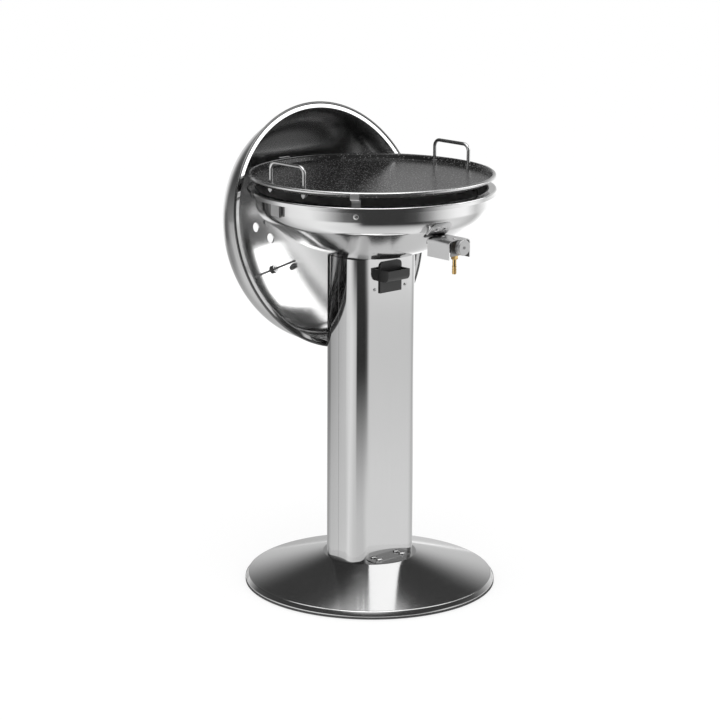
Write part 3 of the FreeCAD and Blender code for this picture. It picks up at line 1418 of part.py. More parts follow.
def make_thermometer():
    seat = on_crown(S.dial_x, S.dial_y, 0)
    back = S.dial_stand
    face = back + S.dial_depth
    inside = S.dial_radius - S.dial_wall
    lens = inside - S.bezel_width
    under = face - S.bezel_thick
    pin = S.dial_pin_radius
    pin_top = face - S.dial_pin_drop
    floor = back + S.dial_wall
    case = turned("thermometer_case", [
        (0, seat_low()),
        (S.dial_neck, seat_low()),
        (S.dial_neck, back),
        (S.dial_radius - S.dial_back_bevel, back),
        (S.dial_radius, back + S.dial_back_bevel),
        (S.dial_radius, face),
        (lens, face),
        (lens, under),
        (inside, under),
        (inside, floor),
        (pin, floor),
        (pin, pin_top),
        (0, pin_top),
    ])
    case.Placement = seat
    hang(case, "thermometer_case")
    top = under - S.seat_gap
    glass = turned("thermometer_glass", rectangle(0, top - S.glass_thick, inside - S.seat_gap, top))
    glass.Placement = seat
    hang(glass, "thermometer_glass")
    needle = new_body("thermometer_needle")
    level = face - S.needle_drop
    width, tip = S.needle_width / 2, S.needle_tip / 2
    pad(needle, outline(needle, "XY_Plane", [
        (-S.needle_tail, -width),
        (S.needle_length, -tip),
        (S.needle_length, tip),
        (-S.needle_tail, width),
    ], level), S.needle_thick)
    pad(needle, discs(needle, "XY_Plane", [(0, 0, S.needle_hub_radius)], level), S.needle_hub_height)
    pocket(needle, discs(needle, "XY_Plane", [(0, 0, pin + S.seat_gap)], level))
    needle.Placement = seat.multiply(about_z(S.needle_start.value))
    hang(needle, "thermometer_needle")
    nut = hex_nut("thermometer_nut_blank", S.dial_nut_flats, S.dial_nut_height, S.dial_neck + S.seat_gap)
    nut.Placement = seat.multiply(shift(0, 0, -S.lid_sheet - S.rest_gap))
    hang(nut, "thermometer_nut")
    probe = turned("thermometer_probe", [
        (0, seat_low() - S.probe_length),
        (S.probe_radius, seat_low() - S.probe_length + S.probe_point),
        (S.probe_radius, seat_low() - S.seat_gap),
        (0, seat_low() - S.seat_gap),
    ])
    probe.Placement = seat
    hang(probe, "thermometer_probe")


def seat_low():
    """Lower end of the thermometer's threaded neck."""
    return -S.lid_sheet - S.dial_nut_height - S.dial_neck_tail


def make_lid():
    make_lid_shell()
    make_hook()
    make_lid_handle()
    make_damper()
    make_thermometer()


def check_and_write():
    doc.recompute()
    for thing in doc.Objects:
        if "Invalid" in thing.State or "Error" in thing.State:
            raise RuntimeError("%s failed: %s" % (thing.Name, thing.State))
    os.makedirs("parts", exist_ok=True)
    for thing in EXPORTS:
        shape = thing.Shape
        if shape.isNull() or not shape.isValid() or not shape.Solids:
            raise RuntimeError("bad shape: " + thing.Label)
        shape.exportStep("parts/%s.step" % thing.Label)


make_foot()
make_column()
make_tray()
make_tray_guide()
make_bowl()
make_side_clip()
make_carriers()
make_burner()
make_guard()
make_valve()
make_pan()
make_lid()
check_and_write()
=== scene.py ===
import json
import math

import bmesh
import bpy
import numpy as np
from mathutils import Matrix, Vector


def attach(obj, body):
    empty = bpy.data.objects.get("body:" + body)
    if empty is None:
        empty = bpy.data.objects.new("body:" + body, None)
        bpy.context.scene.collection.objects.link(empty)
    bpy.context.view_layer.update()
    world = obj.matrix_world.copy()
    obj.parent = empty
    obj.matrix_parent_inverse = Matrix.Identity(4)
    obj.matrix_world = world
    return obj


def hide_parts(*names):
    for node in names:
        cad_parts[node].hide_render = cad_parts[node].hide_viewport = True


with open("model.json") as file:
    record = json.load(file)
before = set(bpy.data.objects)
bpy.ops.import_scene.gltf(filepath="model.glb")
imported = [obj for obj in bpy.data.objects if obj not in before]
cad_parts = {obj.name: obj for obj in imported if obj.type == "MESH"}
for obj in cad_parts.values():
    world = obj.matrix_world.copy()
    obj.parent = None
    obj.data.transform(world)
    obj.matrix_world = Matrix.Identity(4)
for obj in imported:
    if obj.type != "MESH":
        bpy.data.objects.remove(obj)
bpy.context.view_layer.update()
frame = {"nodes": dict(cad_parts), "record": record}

# Camera at the photograph's viewing angle
CAMERA_PLACE = (-3.4512, -3.7532, 1.7627)
CAMERA_AZIMUTH = 41.195
CAMERA_PITCH = 13.844
CAMERA_LENS = 118.73
CAMERA_SHIFT = 0.0636
CAMERA_SENSOR = 36
CAMERA_REACH = 100

# Sizes that the looks share with the construction, in metres
FOOT_RADIUS = 0.280
FOOT_SHEET = 0.0015
FOOT_BOLTS = [(x, y) for x in (0.034, -0.034) for y in (0.069, -0.069)]
FOOT_BOLT_HOLE = 0.0043
FOOT_BOLT_DEPTH = (0.05, 0.08)
PAN_SHEET = 0.0025
PAN_BARE_LIP = (0.2622, 0.2632)
GUARD_AXIS = Vector((-0.020, 0, 0.800))
# The guard's top sheet, and the top and front edge of the painted shade in the bend above it
GUARD_TOP_SHEET = (0.8215, 0.8225)
BEND_SHADE_TOP = (0.8265, 0.8285)
BEND_SHADE_FRONT = (-0.245, -0.240)
BOWL_BOTTOM = 0.7525
BOWL_SHEET = 0.0015
LID_TILT = math.radians(14)
LID_CENTRE = Vector((0, 0.12924, 0.794))
LID_HEIGHT = 0.160
LID_CROWN = 0.450617
LID_KNUCKLE = 0.0802
LID_SHEET = 0.0015
LID_RADIUS = 0.274
LID_EDGE = 0.2712
LID_WALL = 0.260
LID_REACH = 0.116
LID_SLOPE = math.asin(0.4828)
LID_SHOULDER = 0.0806
LID_FLANGE = 0.0035
LID_BEAD = 0.0029
LID_TURN = (math.pi / 2 + LID_TILT, 0, 0)
VENT_SPOT = (-0.061, -0.027)
VENT_CIRCLE = 0.037
VENT_HOLE = 0.011
VENT_BEARINGS = [math.radians(79 + 90 * i) for i in range(4)]
VENT_DEPTH = 0.02
DIAL_SPOT = (-0.066, 0.080)
DIAL_PIN = 0.0013
DIAL_FLOOR = 0.0041
DIAL_FACE = 0.0047
DIAL_REACH = 0.0282
DIAL_EDGE = 0.0032
DIAL_START = math.radians(145)
DIAL_SWEEP = math.radians(250)

# Marks on the dial: how many, and the length, width and height of each
DIAL_MARKS = {
    "dial_minor_marks": (51, 0.0018, 0.00035, 0.00012),
    "dial_major_marks": (11, 0.0036, 0.0007, 0.00016),
}

# Bolts, screws and rivets, with the share of the head that is open as a socket, and nuts
BUTTON_HEADS = {
    "foot_bolts": 0.36, "bowl_bolts": 0.36, "support_bolts": 0.4, "guard_screws": 0.4, "bracket_screws": 0.4,
    "tray_guide_screws": 0.4, "tray_rivets": 0.0, "hook_rivets": 0.0,
}
HEX_NUTS = ("foot_nuts", "bowl_nuts", "support_nuts", "guard_nuts", "tray_guide_nuts")

# Shares of a fastener's own sizes
SHANK_CHAMFER = 0.12
HEAD_SIDE = 0.9
SOCKET_FLOOR = 0.35
SOCKET_TAPER = 0.97
SOCKET_POINT = 0.8
NUT_BORE_CHAMFER = 0.06
NUT_FACE = 0.97
NUT_CORNER = 0.5
RIM_BAND = 0.97

# Parts that are spun or pressed anew, and how far the edges of the others are softened
SPUN = {"base_disc", "bowl", "pan", "lid_shell"}
SOFT_EDGES = {
    "column_front": 0.0005, "column_rear": 0.0005, "tray_front": 0.0012, "valve_guard": 0.0004,
    "side_clip": 0.0004, "pan_supports": 0.0004, "valve_bracket": 0.0003, "grease_tray": 0.0003,
    "knob": 0.0006,
}

# Fineness of the meshes
SPIN_STEPS = 224
CROWN_STEPS = 16
BEAD_STEPS = 20
DOME_STEPS = 5
DIAL_STEPS = 96
CUTTER_SIDES = 48
HEAD_SIDES = 24
BEVEL_STEPS = 2
ARC_STEP = math.radians(5)
SHARP = math.radians(32)
FLAT = math.radians(0.6)
SOFTEN_FROM = math.radians(40)
WELD = 1e-6
SEAT_MARGIN = 1e-5
FACES_INWARD = -0.3

# Sheet steel: how far its tone drifts, and what smudges and finger marks add to its roughness
SHEET_DRIFT = 0.03
SPUN_SMUDGE = 0.06
BRUSHED_SMUDGE = 0.05
PRINT_DULL = 0.03
FLECK_SCALE = 290.0

# Studio levels. The lists give (bearing from the camera's side in degrees, level).
FLOOR_SIZE = 60
FLOOR_MATT = 0.35
FLOOR_NEAR = (
    (-180, 0.5), (-120, 0.48), (-90, 0.76), (-60, 1.05), (-30, 0.85), (0, 0.77), (30, 0.77),
    (60, 0.95), (90, 0.95), (120, 0.7), (180, 0.6),
)
# Painted shadow round the foot, as reflections show the floor: the reach over which it lifts, and its darkest
# share
FLOOR_SHADE = (0.297, 0.306)
FLOOR_UNDER = 0.1
FLOOR_FADE = (0.45, 2.2)
FLOOR_REST = (2.6, 4.0)
FLOOR_MID = (
    (-180, 0.8), (-150, 0.45), (-125, 0.22), (-105, 0.3), (-85, 0.9), (-50, 1.05), (-38, 1.0),
    (-19, 0.8), (-13, 0.5), (-9, 0.04), (45, 0.04), (60, 0.12), (74, 0.6), (80, 0.85),
    (100, 0.8), (125, 0.55), (150, 1.3), (180, 1.3),
)
FLOOR_FAR = (
    (-180, 1.0), (-150, 0.9), (-130, 0.1), (-115, 0.15), (-100, 0.45), (-88, 0.95), (-62, 1.05),
    (-48, 0.8), (-36, 0.4), (-26, 0.08), (-15, 0.04), (30, 0.04), (44, 0.08), (56, 0.35),
    (68, 0.75), (80, 1.0), (90, 1.15), (104, 1.2), (122, 0.7), (150, 1.1), (180, 1.2),
)
WALLS = (
    (-180, 0.55), (-150, 0.8), (-125, 0.12), (-105, 0.2), (-85, 0.9), (-50, 1.05), (-38, 1.0),
    (-22, 0.5), (-14, 0.04), (45, 0.04), (58, 0.35), (72, 0.85), (82, 0.75), (93, 0.2),
    (112, 0.12), (128, 0.3), (150, 0.85), (180, 0.55),
)
WALL_TOPS = ((-180, 0.6), (-120, 0.45), (0, 0.4), (60, 0.5), (112, 0.5), (180, 0.6))
WALL_SHADES = (
    (-180, 0.02), (-120, 0.0), (0, 0.1), (60, 0.2), (112, 0.2), (150, 0.25), (180, 0.02),
)
CEILING = 0.045
SKYLIGHT = 1.1
SKYLIGHT_EDGE = (0.75, 0.80)
CARD_BEARING = 55
CARD_AWAY = 0.98
CARD_ENDS = (0.42, 2.4)
CARD_RISE = (1.09, 2.02)
CARD_LEVEL = 1.9
LAMP = {"place": (-0.6, -0.7, 3.2), "target": (0, 0, 0.6), "size": (2.2, 2.2), "power": 18}


# Node maths


class Field:
    """A number or vector that varies over a surface, with arithmetic that adds nodes."""

    def __init__(self, graph, socket):
        self.graph = graph
        self.socket = socket

    def _math(self, operation, other, flip=False):
        a, b = (other, self) if flip else (self, other)
        return self.graph.math(operation, a, b)

    def __add__(self, other):
        return self._math("ADD", other)

    def __radd__(self, other):
        return self._math("ADD", other, True)

    def __sub__(self, other):
        return self._math("SUBTRACT", other)

    def __rsub__(self, other):
        return self._math("SUBTRACT", other, True)

    def __mul__(self, other):
        return self._math("MULTIPLY", other)

    def __rmul__(self, other):
        return self._math("MULTIPLY", other, True)

    def __truediv__(self, other):
        return self._math("DIVIDE", other)


class Graph:
    """A node tree that is built one call per node."""

    def __init__(self, tree):
        self.tree = tree

    def node(self, kind, settings=None, inputs=None):
        """Adds a node, sets it, and fills its sockets with values or links."""
        made = self.tree.nodes.new(kind)
        for name, value in (settings or {}).items():
            if name == "stops":
                ramp = made.color_ramp
                while len(ramp.elements) < len(value):
                    ramp.elements.new(0.5)
                for element, (place, colour) in zip(ramp.elements, value):
                    element.position = place
                    element.color = colour if len(colour) == 4 else tuple(colour) + (1,)
            else:
                setattr(made, name, value)
        for name, value in (inputs or {}).items():
            socket = made.inputs[name]
            if isinstance(value, Field):
                self.tree.links.new(value.socket, socket)
            elif value is not None:
                socket.default_value = value
        return made

    def out(self, kind, settings=None, inputs=None, output=0):
        return Field(self, self.node(kind, settings, inputs).outputs[output])

    def end(self, kind, shader):
        """Ends the tree in an output node that a shader feeds."""
        self.tree.links.new(shader.outputs[0], self.node(kind).inputs[0])

    def math(self, operation, a, b=None):
        return self.out("ShaderNodeMath", {"operation": operation}, {0: a, 1: b})

    def vector(self, operation, a, b):
        return self.out("ShaderNodeVectorMath", {"operation": operation}, {0: a, 1: b})

    def split(self, vector):
        made = self.node("ShaderNodeSeparateXYZ", None, {0: vector})
        return [Field(self, made.outputs[i]) for i in range(3)]

    def join(self, x, y, z):
        return self.out("ShaderNodeCombineXYZ", None, {0: x, 1: y, 2: z})

    def mix(self, factor, a, b):
        made = self.node("ShaderNodeMix", {"data_type": "RGBA"}, {0: factor})
        for index, value in ((6, a), (7, b)):
            if isinstance(value, Field):
                self.tree.links.new(value.socket, made.inputs[index])
            else:
                made.inputs[index].default_value = tuple(value) + (1,) if len(value) == 3 else value
        return Field(self, made.outputs[2])

    def step(self, value, low, high):
        """0 below low, 1 above high, smooth between."""
        made = self.node("ShaderNodeMapRange", {"interpolation_type": "SMOOTHSTEP"},
                         {"Value": value, "From Min": low, "From Max": high})
        return Field(self, made.outputs[0])

    def noise(self, place, scale, detail=3.0, roughness=0.5):
        return self.out("ShaderNodeTexNoise", {"noise_dimensions": "3D"},
                        {"Vector": place, "Scale": scale, "Detail": detail, "Roughness": roughness})

    def place(self, centre=(0, 0, 0), turn=(0, 0, 0), scale=(1, 1, 1)):
        """Object coordinates, moved so that centre is the pattern's origin."""
        raw = self.out("ShaderNodeTexCoord", None, None, 3)
        moved = self.vector("SUBTRACT", raw, centre)
        turned = self.out("ShaderNodeVectorRotate", {"rotation_type": "EULER_XYZ"},
                          {"Vector": moved, "Rotation": turn})
        return self.vector("MULTIPLY", turned, scale)


def grey(level):
    return (level, level, level)


# Materials


def empty_graph(owner):
    """The emptied node tree of a material or world."""
    owner.use_nodes = True
    owner.node_tree.nodes.clear()
    return Graph(owner.node_tree)


def new_material(name):
    """A material with a Principled shader, as (material, graph, shader)."""
    material = bpy.data.materials.new(name)
    graph = empty_graph(material)
    shader = graph.node("ShaderNodeBsdfPrincipled")
    graph.end("ShaderNodeOutputMaterial", shader)
    return material, graph, shader


def reopened(material):
    """A made material's graph and shader."""
    graph = Graph(material.node_tree)
    return graph, next(n for n in graph.tree.nodes if n.type == "BSDF_PRINCIPLED")


def fed(graph, shader, name):
    """The field that is linked to a shader's socket."""
    return Field(graph, shader.inputs[name].links[0].from_socket)


def feed(graph, shader, name, value):
    """Sets a shader socket, or links a field to it."""
    if isinstance(value, Field):
        graph.tree.links.new(value.socket, shader.inputs[name])
    elif isinstance(value, tuple) and len(value) == 3 and name == "Base Color":
        shader.inputs[name].default_value = value + (1,)
    else:
        shader.inputs[name].default_value = value


def bump(graph, height, distance):
    return graph.out("ShaderNodeBump", None, {"Strength": 1.0, "Distance": distance, "Height": height})


def sheet_tones(tint):
    return grey(tint - SHEET_DRIFT), grey(tint + SHEET_DRIFT)


def spun_steel(name, tint, rough, centre=(0, 0, 0), turn=(0, 0, 0), grain=0.00002):
    """Stainless sheet with fine rings left by spinning, round a centre line."""
    material, g, shader = new_material(name)
    place = g.place(centre, turn)
    x, y, z = g.split(place)
    radius = g.math("SQRT", x * x + y * y)
    rings = g.noise(g.join(radius, z, 0.0), 900.0, 4.0, 0.6)
    broad = g.noise(g.join(radius, z, 0.3), 60.0, 2.0)
    marks = g.noise(place, 7.0, 5.0, 0.6)
    prints = g.step(g.noise(place, 26.0, 4.0, 0.65), 0.55, 0.72)
    feed(g, shader, "Base Color", g.mix(rings * 0.5 + marks * 0.5, *sheet_tones(tint)))
    feed(g, shader, "Metallic", 1.0)
    wear = (marks - 0.5) * SPUN_SMUDGE
    feed(g, shader, "Roughness", rough + (rings - 0.5) * 0.05 + wear + prints * PRINT_DULL)
    feed(g, shader, "Normal", bump(g, rings * 0.6 + broad * 0.4, grain))
    return material


def brushed_steel(name, tint, rough, stretch=(500, 500, 6), grain=0.00002):
    """Stainless sheet with a fine straight grain."""
    material, g, shader = new_material(name)
    place = g.place()
    lines = g.noise(g.place(scale=stretch), 1.0, 4.0, 0.6)
    marks = g.noise(place, 8.0, 5.0, 0.6)
    prints = g.step(g.noise(place, 30.0, 4.0, 0.65), 0.56, 0.72)
    feed(g, shader, "Base Color", g.mix(lines * 0.5 + marks * 0.5, *sheet_tones(tint)))
    feed(g, shader, "Metallic", 1.0)
    wear = (marks - 0.5) * BRUSHED_SMUDGE
    feed(g, shader, "Roughness", rough + (lines - 0.5) * 0.06 + wear + prints * PRINT_DULL)
    feed(g, shader, "Normal", bump(g, lines, grain))
    return material


def plated_steel(name, tint, rough):
    """Bright plated bar and fasteners, with faint draw lines and wear."""
    material, g, shader = new_material(name)
    place = g.place()
    grain = g.noise(place, 700.0, 3.0, 0.6)
    marks = g.noise(place, 60.0, 4.0, 0.6)
    feed(g, shader, "Base Color", g.mix(marks, grey(tint - 0.05), grey(tint + 0.04)))
    feed(g, shader, "Metallic", 1.0)
    feed(g, shader, "Roughness", rough + (marks - 0.5) * 0.12 + (grain - 0.5) * 0.04)
    feed(g, shader, "Normal", bump(g, grain, 0.00002))
    return material


def speckled_enamel(name):
    """Black vitreous enamel with a dense fine fleck, ground bright along the pan's lip."""
    material, g, shader = new_material(name)
    place = g.place()
    x, y, _ = g.split(place)
    lip = g.step(g.math("SQRT", x * x + y * y), *PAN_BARE_LIP)
    cell = {"Vector": place, "Scale": FLECK_SCALE, "Randomness": 1.0}
    spread = g.out("ShaderNodeTexVoronoi", {"feature": "F1"}, cell)
    spot = g.out("ShaderNodeTexVoronoi", {"feature": "F1"}, cell, 2)
    pick = g.out("ShaderNodeTexWhiteNoise", {"noise_dimensions": "3D"}, {"Vector": spot})
    fleck = (1.0 - g.step(spread, 0.2, 0.5)) * g.step(pick, 0.55, 0.8)
    shade = g.noise(place, 16.0, 4.0, 0.6)
    body = g.mix(shade, grey(0.008), grey(0.018))
    enamel = g.mix(fleck, body, grey(0.2))
    feed(g, shader, "Base Color", g.mix(lip, enamel, grey(0.72)))
    feed(g, shader, "Metallic", lip)
    feed(g, shader, "Roughness", 0.24 + (shade - 0.5) * 0.06 + fleck * 0.1 * (1.0 - lip))
    ripple = g.noise(place, 420.0, 2.0, 0.5)
    feed(g, shader, "Normal", bump(g, (ripple + fleck * 0.5) * (1.0 - lip), 0.00003))
    return material


def moulded_plastic(name, level=0.03, rough=0.42):
    """Moulded plastic with a fine leathery grain, black unless a level is given."""
    material, g, shader = new_material(name)
    place = g.place()
    grain = g.noise(place, 1500.0, 3.0, 0.6)
    tone = g.noise(place, 40.0, 3.0, 0.5)
    feed(g, shader, "Base Color", g.mix(tone, grey(level * 0.85), grey(level * 1.2)))
    feed(g, shader, "Roughness", rough + (grain - 0.5) * 0.16)
    feed(g, shader, "Normal", bump(g, grain, 0.00004))
    return material


def black_paint(name):
    material, g, shader = new_material(name)
    place = g.place()
    peel = g.noise(place, 300.0, 2.0, 0.5)
    dust = g.step(g.noise(place, 90.0, 5.0, 0.7), 0.58, 0.75)
    feed(g, shader, "Base Color", g.mix(dust, grey(0.022), grey(0.05)))
    feed(g, shader, "Roughness", 0.4 + (peel - 0.5) * 0.15 + dust * 0.2)
    feed(g, shader, "Normal", bump(g, peel, 0.00005))
    return material


def rubber(name):
    material, g, shader = new_material(name)
    place = g.place()
    grain = g.noise(place, 900.0, 3.0, 0.6)
    dust = g.noise(place, 25.0, 4.0, 0.6)
    feed(g, shader, "Base Color", g.mix(dust, grey(0.018), grey(0.035)))
    feed(g, shader, "Roughness", 0.75 + (grain - 0.5) * 0.2)
    feed(g, shader, "Normal", bump(g, grain, 0.0001))
    return material


def brass(name):
    """Turned brass with faint tool rings and a warmer tarnish."""
    material, g, shader = new_material(name)
    place = g.place()
    rings = g.noise(g.place(scale=(60, 60, 1800)), 1.0, 3.0, 0.6)
    tarnish = g.step(g.noise(place, 120.0, 4.0, 0.65), 0.45, 0.7)
    feed(g, shader, "Base Color", g.mix(tarnish, (0.80, 0.56, 0.24), (0.52, 0.32, 0.12)))
    feed(g, shader, "Metallic", 1.0)
    feed(g, shader, "Roughness", 0.22 + (rings - 0.5) * 0.1 + tarnish * 0.12)
    feed(g, shader, "Normal", bump(g, rings, 0.00003))
    return material


def burnt_steel(name):
    material, g, shader = new_material(name)
    place = g.place()
    scale = g.noise(place, 130.0, 5.0, 0.7)
    rust = g.step(g.noise(place, 40.0, 5.0, 0.7), 0.52, 0.7)
    feed(g, shader, "Base Color", g.mix(rust, grey(0.12), (0.16, 0.09, 0.055)))
    feed(g, shader, "Metallic", 0.7 - rust * 0.6)
    feed(g, shader, "Roughness", 0.6 + (scale - 0.5) * 0.3)
    feed(g, shader, "Normal", bump(g, scale, 0.0002))
    return material


def clear_glass(name):
    material, g, shader = new_material(name)
    place = g.place()
    haze = g.noise(place, 50.0, 4.0, 0.6)
    feed(g, shader, "Base Color", (0.85, 0.88, 0.88))
    feed(g, shader, "Roughness", 0.03 + haze * 0.05)
    feed(g, shader, "Alpha", 0.1 + haze * 0.06)
    return material


def red_paint(name):
    material, g, shader = new_material(name)
    place = g.place()
    tone = g.noise(place, 200.0, 3.0, 0.5)
    feed(g, shader, "Base Color", g.mix(tone, (0.42, 0.03, 0.02), (0.55, 0.05, 0.03)))
    feed(g, shader, "Roughness", 0.4 + (tone - 0.5) * 0.1)
    return material


def inside_dulling_and_painted_shade(material, level, rough=0.0, metal=1.0, limit=None):
    """Gives the faces that mark_inside marked, where limit is 1, or wherever they are, a set tone, roughness
    and metalness: painted shade inside the lid and the guard, a dull grey inside the bowl.
    """
    g, shader = reopened(material)
    inside_mask = g.out("ShaderNodeAttribute", {"attribute_name": "inside"}, None, 2)
    if limit is not None:
        inside_mask = inside_mask * limit(g)
    # Painted shade where used on the lid and the guard: the marked faces take the darker tone.
    feed(g, shader, "Base Color", g.mix(inside_mask, fed(g, shader, "Base Color"), grey(level)))
    feed(g, shader, "Roughness", fed(g, shader, "Roughness") + inside_mask * rough)
    feed(g, shader, "Metallic", 1.0 - inside_mask * (1.0 - metal))
    return material


def lid_upper_half(graph):
    """1 in the half of the lid that stands above the pan, fading out below; it bounds the painted shade
    inside the lid.
    """
    _, y, _ = graph.split(graph.place(tuple(LID_CENTRE), LID_TURN))
    drift = (graph.noise(graph.place(), 6.0, 4.0, 0.6) - 0.5) * 0.05
    return graph.step(drift - y, 0.0, 0.12)


def below_guard_top(graph):
    """1 below the guard's top, fading out in its thickness; it bounds the painted shade inside the guard."""
    _, _, z = graph.split(graph.place())
    return 1.0 - graph.step(z, *GUARD_TOP_SHEET)


def guard_bend_painted_shade(material):
    """Painted shade: darkens the line where the guard's tab turns up from its top, where the bend lies in
    shadow.
    """
    g, shader = reopened(material)
    _, y, z = g.split(g.place())
    line = g.step(z, *GUARD_TOP_SHEET) * (1.0 - g.step(z, *BEND_SHADE_TOP)) * g.step(y, *BEND_SHADE_FRONT)
    feed(g, shader, "Base Color", g.mix(line, fed(g, shader, "Base Color"), grey(0.03)))
    return material


FINISHES = {
    "base_steel": spun_steel("base steel", 0.74, 0.11, grain=0.000005),
    "column_steel": brushed_steel("column steel", 0.64, 0.07, grain=0.000004),
    "bowl_steel": spun_steel("bowl steel", 0.76, 0.13, grain=0.000006),
    # Painted shade: the lid_steel finish, which the rolled bead wears, is a dark copy of the lid's steel,
    # tint 0.2 against 0.86.
    "lid_steel": spun_steel("lid bead steel", 0.2, 0.25, tuple(LID_CENTRE), LID_TURN, grain=0.000003),
    "clip_steel": brushed_steel("sheet steel", 0.66, 0.3, (300, 20, 300)),
    "tray_steel": brushed_steel("tray steel", 0.6, 0.34, (20, 300, 300)),
    "probe_steel": plated_steel("stem steel", 0.7, 0.2),
    "wire_steel": plated_steel("bright rod", 0.72, 0.2),
    "zinc": plated_steel("plated fasteners", 0.7, 0.25),
    "knob_metal": spun_steel("knob face", 0.62, 0.42, (-0.02, -0.3, 0.807), (math.pi / 2, 0, 0), 0.00002),
    "dark_paint": black_paint("black paint"),
    "rubber": rubber("rubber"),
    "black_parts": moulded_plastic("black plastic"),
    "enamel": speckled_enamel("speckled enamel"),
    "burner_iron": burnt_steel("burnt steel"),
    "brass": brass("brass"),
    "clear_glass": clear_glass("dial glass"),
    "needle_paint": red_paint("needle red"),
}
NODE_FINISHES = {
    "bowl": inside_dulling_and_painted_shade(
        spun_steel("dulled bowl steel", 0.76, 0.13, grain=0.000006),
        level=0.6, rough=0.35, metal=0.05),
    # Painted shade: the inside of the lid's upper half is darkened steel.
    "lid_shell": inside_dulling_and_painted_shade(
        spun_steel("lid steel", 0.86, 0.11, tuple(LID_CENTRE), LID_TURN, grain=0.0000012),
        level=0.34, rough=0.12, limit=lid_upper_half),
    # Painted shade on the guard's inside, and along the bend of its tab.
    "valve_guard": guard_bend_painted_shade(inside_dulling_and_painted_shade(
        brushed_steel("guard steel", 0.66, 0.3, (300, 20, 300)),
        level=0.09, limit=below_guard_top)),
    # Painted shade: the bracket is a darker copy of the sheet steel, tint 0.34 against 0.66, for the dark
    # that it reflects from below.
    "valve_bracket": brushed_steel("bracket steel", 0.34, 0.36, (300, 20, 300)),
    "knob_screw": plated_steel("dark screw", 0.3, 0.3),
    "handle_collars": plated_steel("collar steel", 0.5, 0.3),
}
DIAL_WHITE = moulded_plastic("dial white", 0.72, 0.5)
DIAL_INK = moulded_plastic("dial ink", 0.02, 0.5)
SLOT_OF = {s["node"]: s["material_slot"] for s in frame["record"]["subparts"]}
BODY_OF = {n: b for b, names in frame["record"]["behaviour"]["bodies"].items() for n in names}


# Mesh helpers


def add_object(name, data):
    """An object of its data, linked into the scene."""
    made = bpy.data.objects.new(name, data)
    bpy.context.scene.collection.objects.link(made)
    return made


def shade_smooth(bm):
    """Smooth shading, but for the sharp edges."""
    for face in bm.faces:
        face.smooth = True
    for edge in bm.edges:
        edge.smooth = len(edge.link_faces) == 2 and edge.calc_face_angle(0) < SHARP


def finish_mesh(name, bm, recalc=True):
    """Makes an object of a bmesh, smooth but for its sharp edges."""
    if recalc:
        bmesh.ops.recalc_face_normals(bm, faces=bm.faces)
    shade_smooth(bm)
    mesh = bpy.data.meshes.new(name)
    bm.to_mesh(mesh)
    bm.free()
    return add_object(name, mesh)


def dress(piece, node):
    """Puts a piece in a node's place, on its body and with its finish."""
    piece.data.materials.clear()
    piece.data.materials.append(NODE_FINISHES.get(node, FINISHES[SLOT_OF[node]]))
    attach(piece, BODY_OF[node])
    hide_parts(node)
    return piece


def apply_modifiers(piece):
    """Bakes the piece's modifiers into its mesh."""
    depsgraph = bpy.context.evaluated_depsgraph_get()
    mesh = bpy.data.meshes.new_from_object(piece.evaluated_get(depsgraph))
    piece.modifiers.clear()
    piece.data = mesh
    return piece


def mark_inside(piece, point, axis=None):
    """Marks the faces that look toward a point, or toward a line through it, for the finish to read."""
    marks = piece.data.attributes.new("inside", "FLOAT", "FACE")
    for face in piece.data.polygons:
        out = face.center - point
        if axis is not None:
            out = out - axis * out.dot(axis)
        inward = out.dot(face.normal) < FACES_INWARD * out.length
        marks.data[face.index].value = 1.0 if inward else 0.0
    return piece


def drilled(piece, cutters):
    """Cuts the cutters out of a piece."""
    for cutter in cutters:
        modifier = piece.modifiers.new("cut", "BOOLEAN")
        modifier.object = cutter
        modifier.solver = "EXACT"
    apply_modifiers(piece)
    for cutter in cutters:
        bpy.data.objects.remove(cutter)
    bm = bmesh.new()
    bm.from_mesh(piece.data)
    shade_smooth(bm)
    bm.to_mesh(piece.data)
    bm.free()
    return piece


def bar(radius, start, end):
    """A plain round bar between two points, used as a cutter."""
    bm = bmesh.new()
    start, end = Vector(start), Vector(end)
    axis = end - start
    turn = axis.to_track_quat("Z", "Y").to_matrix().to_4x4()
    place = Matrix.Translation((start + end) / 2) @ turn
    bmesh.ops.create_cone(bm, cap_ends=True, segments=CUTTER_SIDES, radius1=radius, radius2=radius,
                          depth=axis.length, matrix=place)
    return finish_mesh("hole", bm)


def rounded(corners, closed=True):
    """Points of an outline whose corners (x, y[, radius]) are rounded by arcs."""
    points = []
    count = len(corners)
    for i, corner in enumerate(corners):
        here = Vector(corner[:2])
        radius = corner[2] if len(corner) > 2 else 0
        if not radius or (not closed and i in (0, count - 1)):
            points.append(here)
            continue
        back = (Vector(corners[i - 1][:2]) - here).normalized()
        ahead = (Vector(corners[(i + 1) % count][:2]) - here).normalized()
        half = back.angle(ahead) / 2
        reach = radius / math.tan(half)
        centre = here + (back + ahead).normalized() * (radius / math.sin(half))
        first = here + back * reach - centre
        last = here + ahead * reach - centre
        sweep = first.angle(last)
        side = 1 if first.x * last.y - first.y * last.x > 0 else -1
        steps = max(3, round(sweep / ARC_STEP))
        for k in range(steps + 1):
            angle = side * sweep * k / steps
            points.append(centre + Matrix.Rotation(angle, 2) @ first)
    return points


def sheet_outline(path, thick):
    """A closed outline: the path's points, and the same moved to its left by the sheet's thickness."""
    left = []
    for i, here in enumerate(path):
        back = (here - path[max(i - 1, 0)]).normalized() if i else None
        ahead = (path[min(i + 1, len(path) - 1)] - here).normalized() if i < len(path) - 1 else None
        normals = [Vector((-d.y, d.x)) for d in (back, ahead) if d is not None]
        mean = sum(normals, Vector((0, 0))).normalized()
        left.append(here + mean * (thick / mean.dot(normals[0])))
    return path + left[::-1]


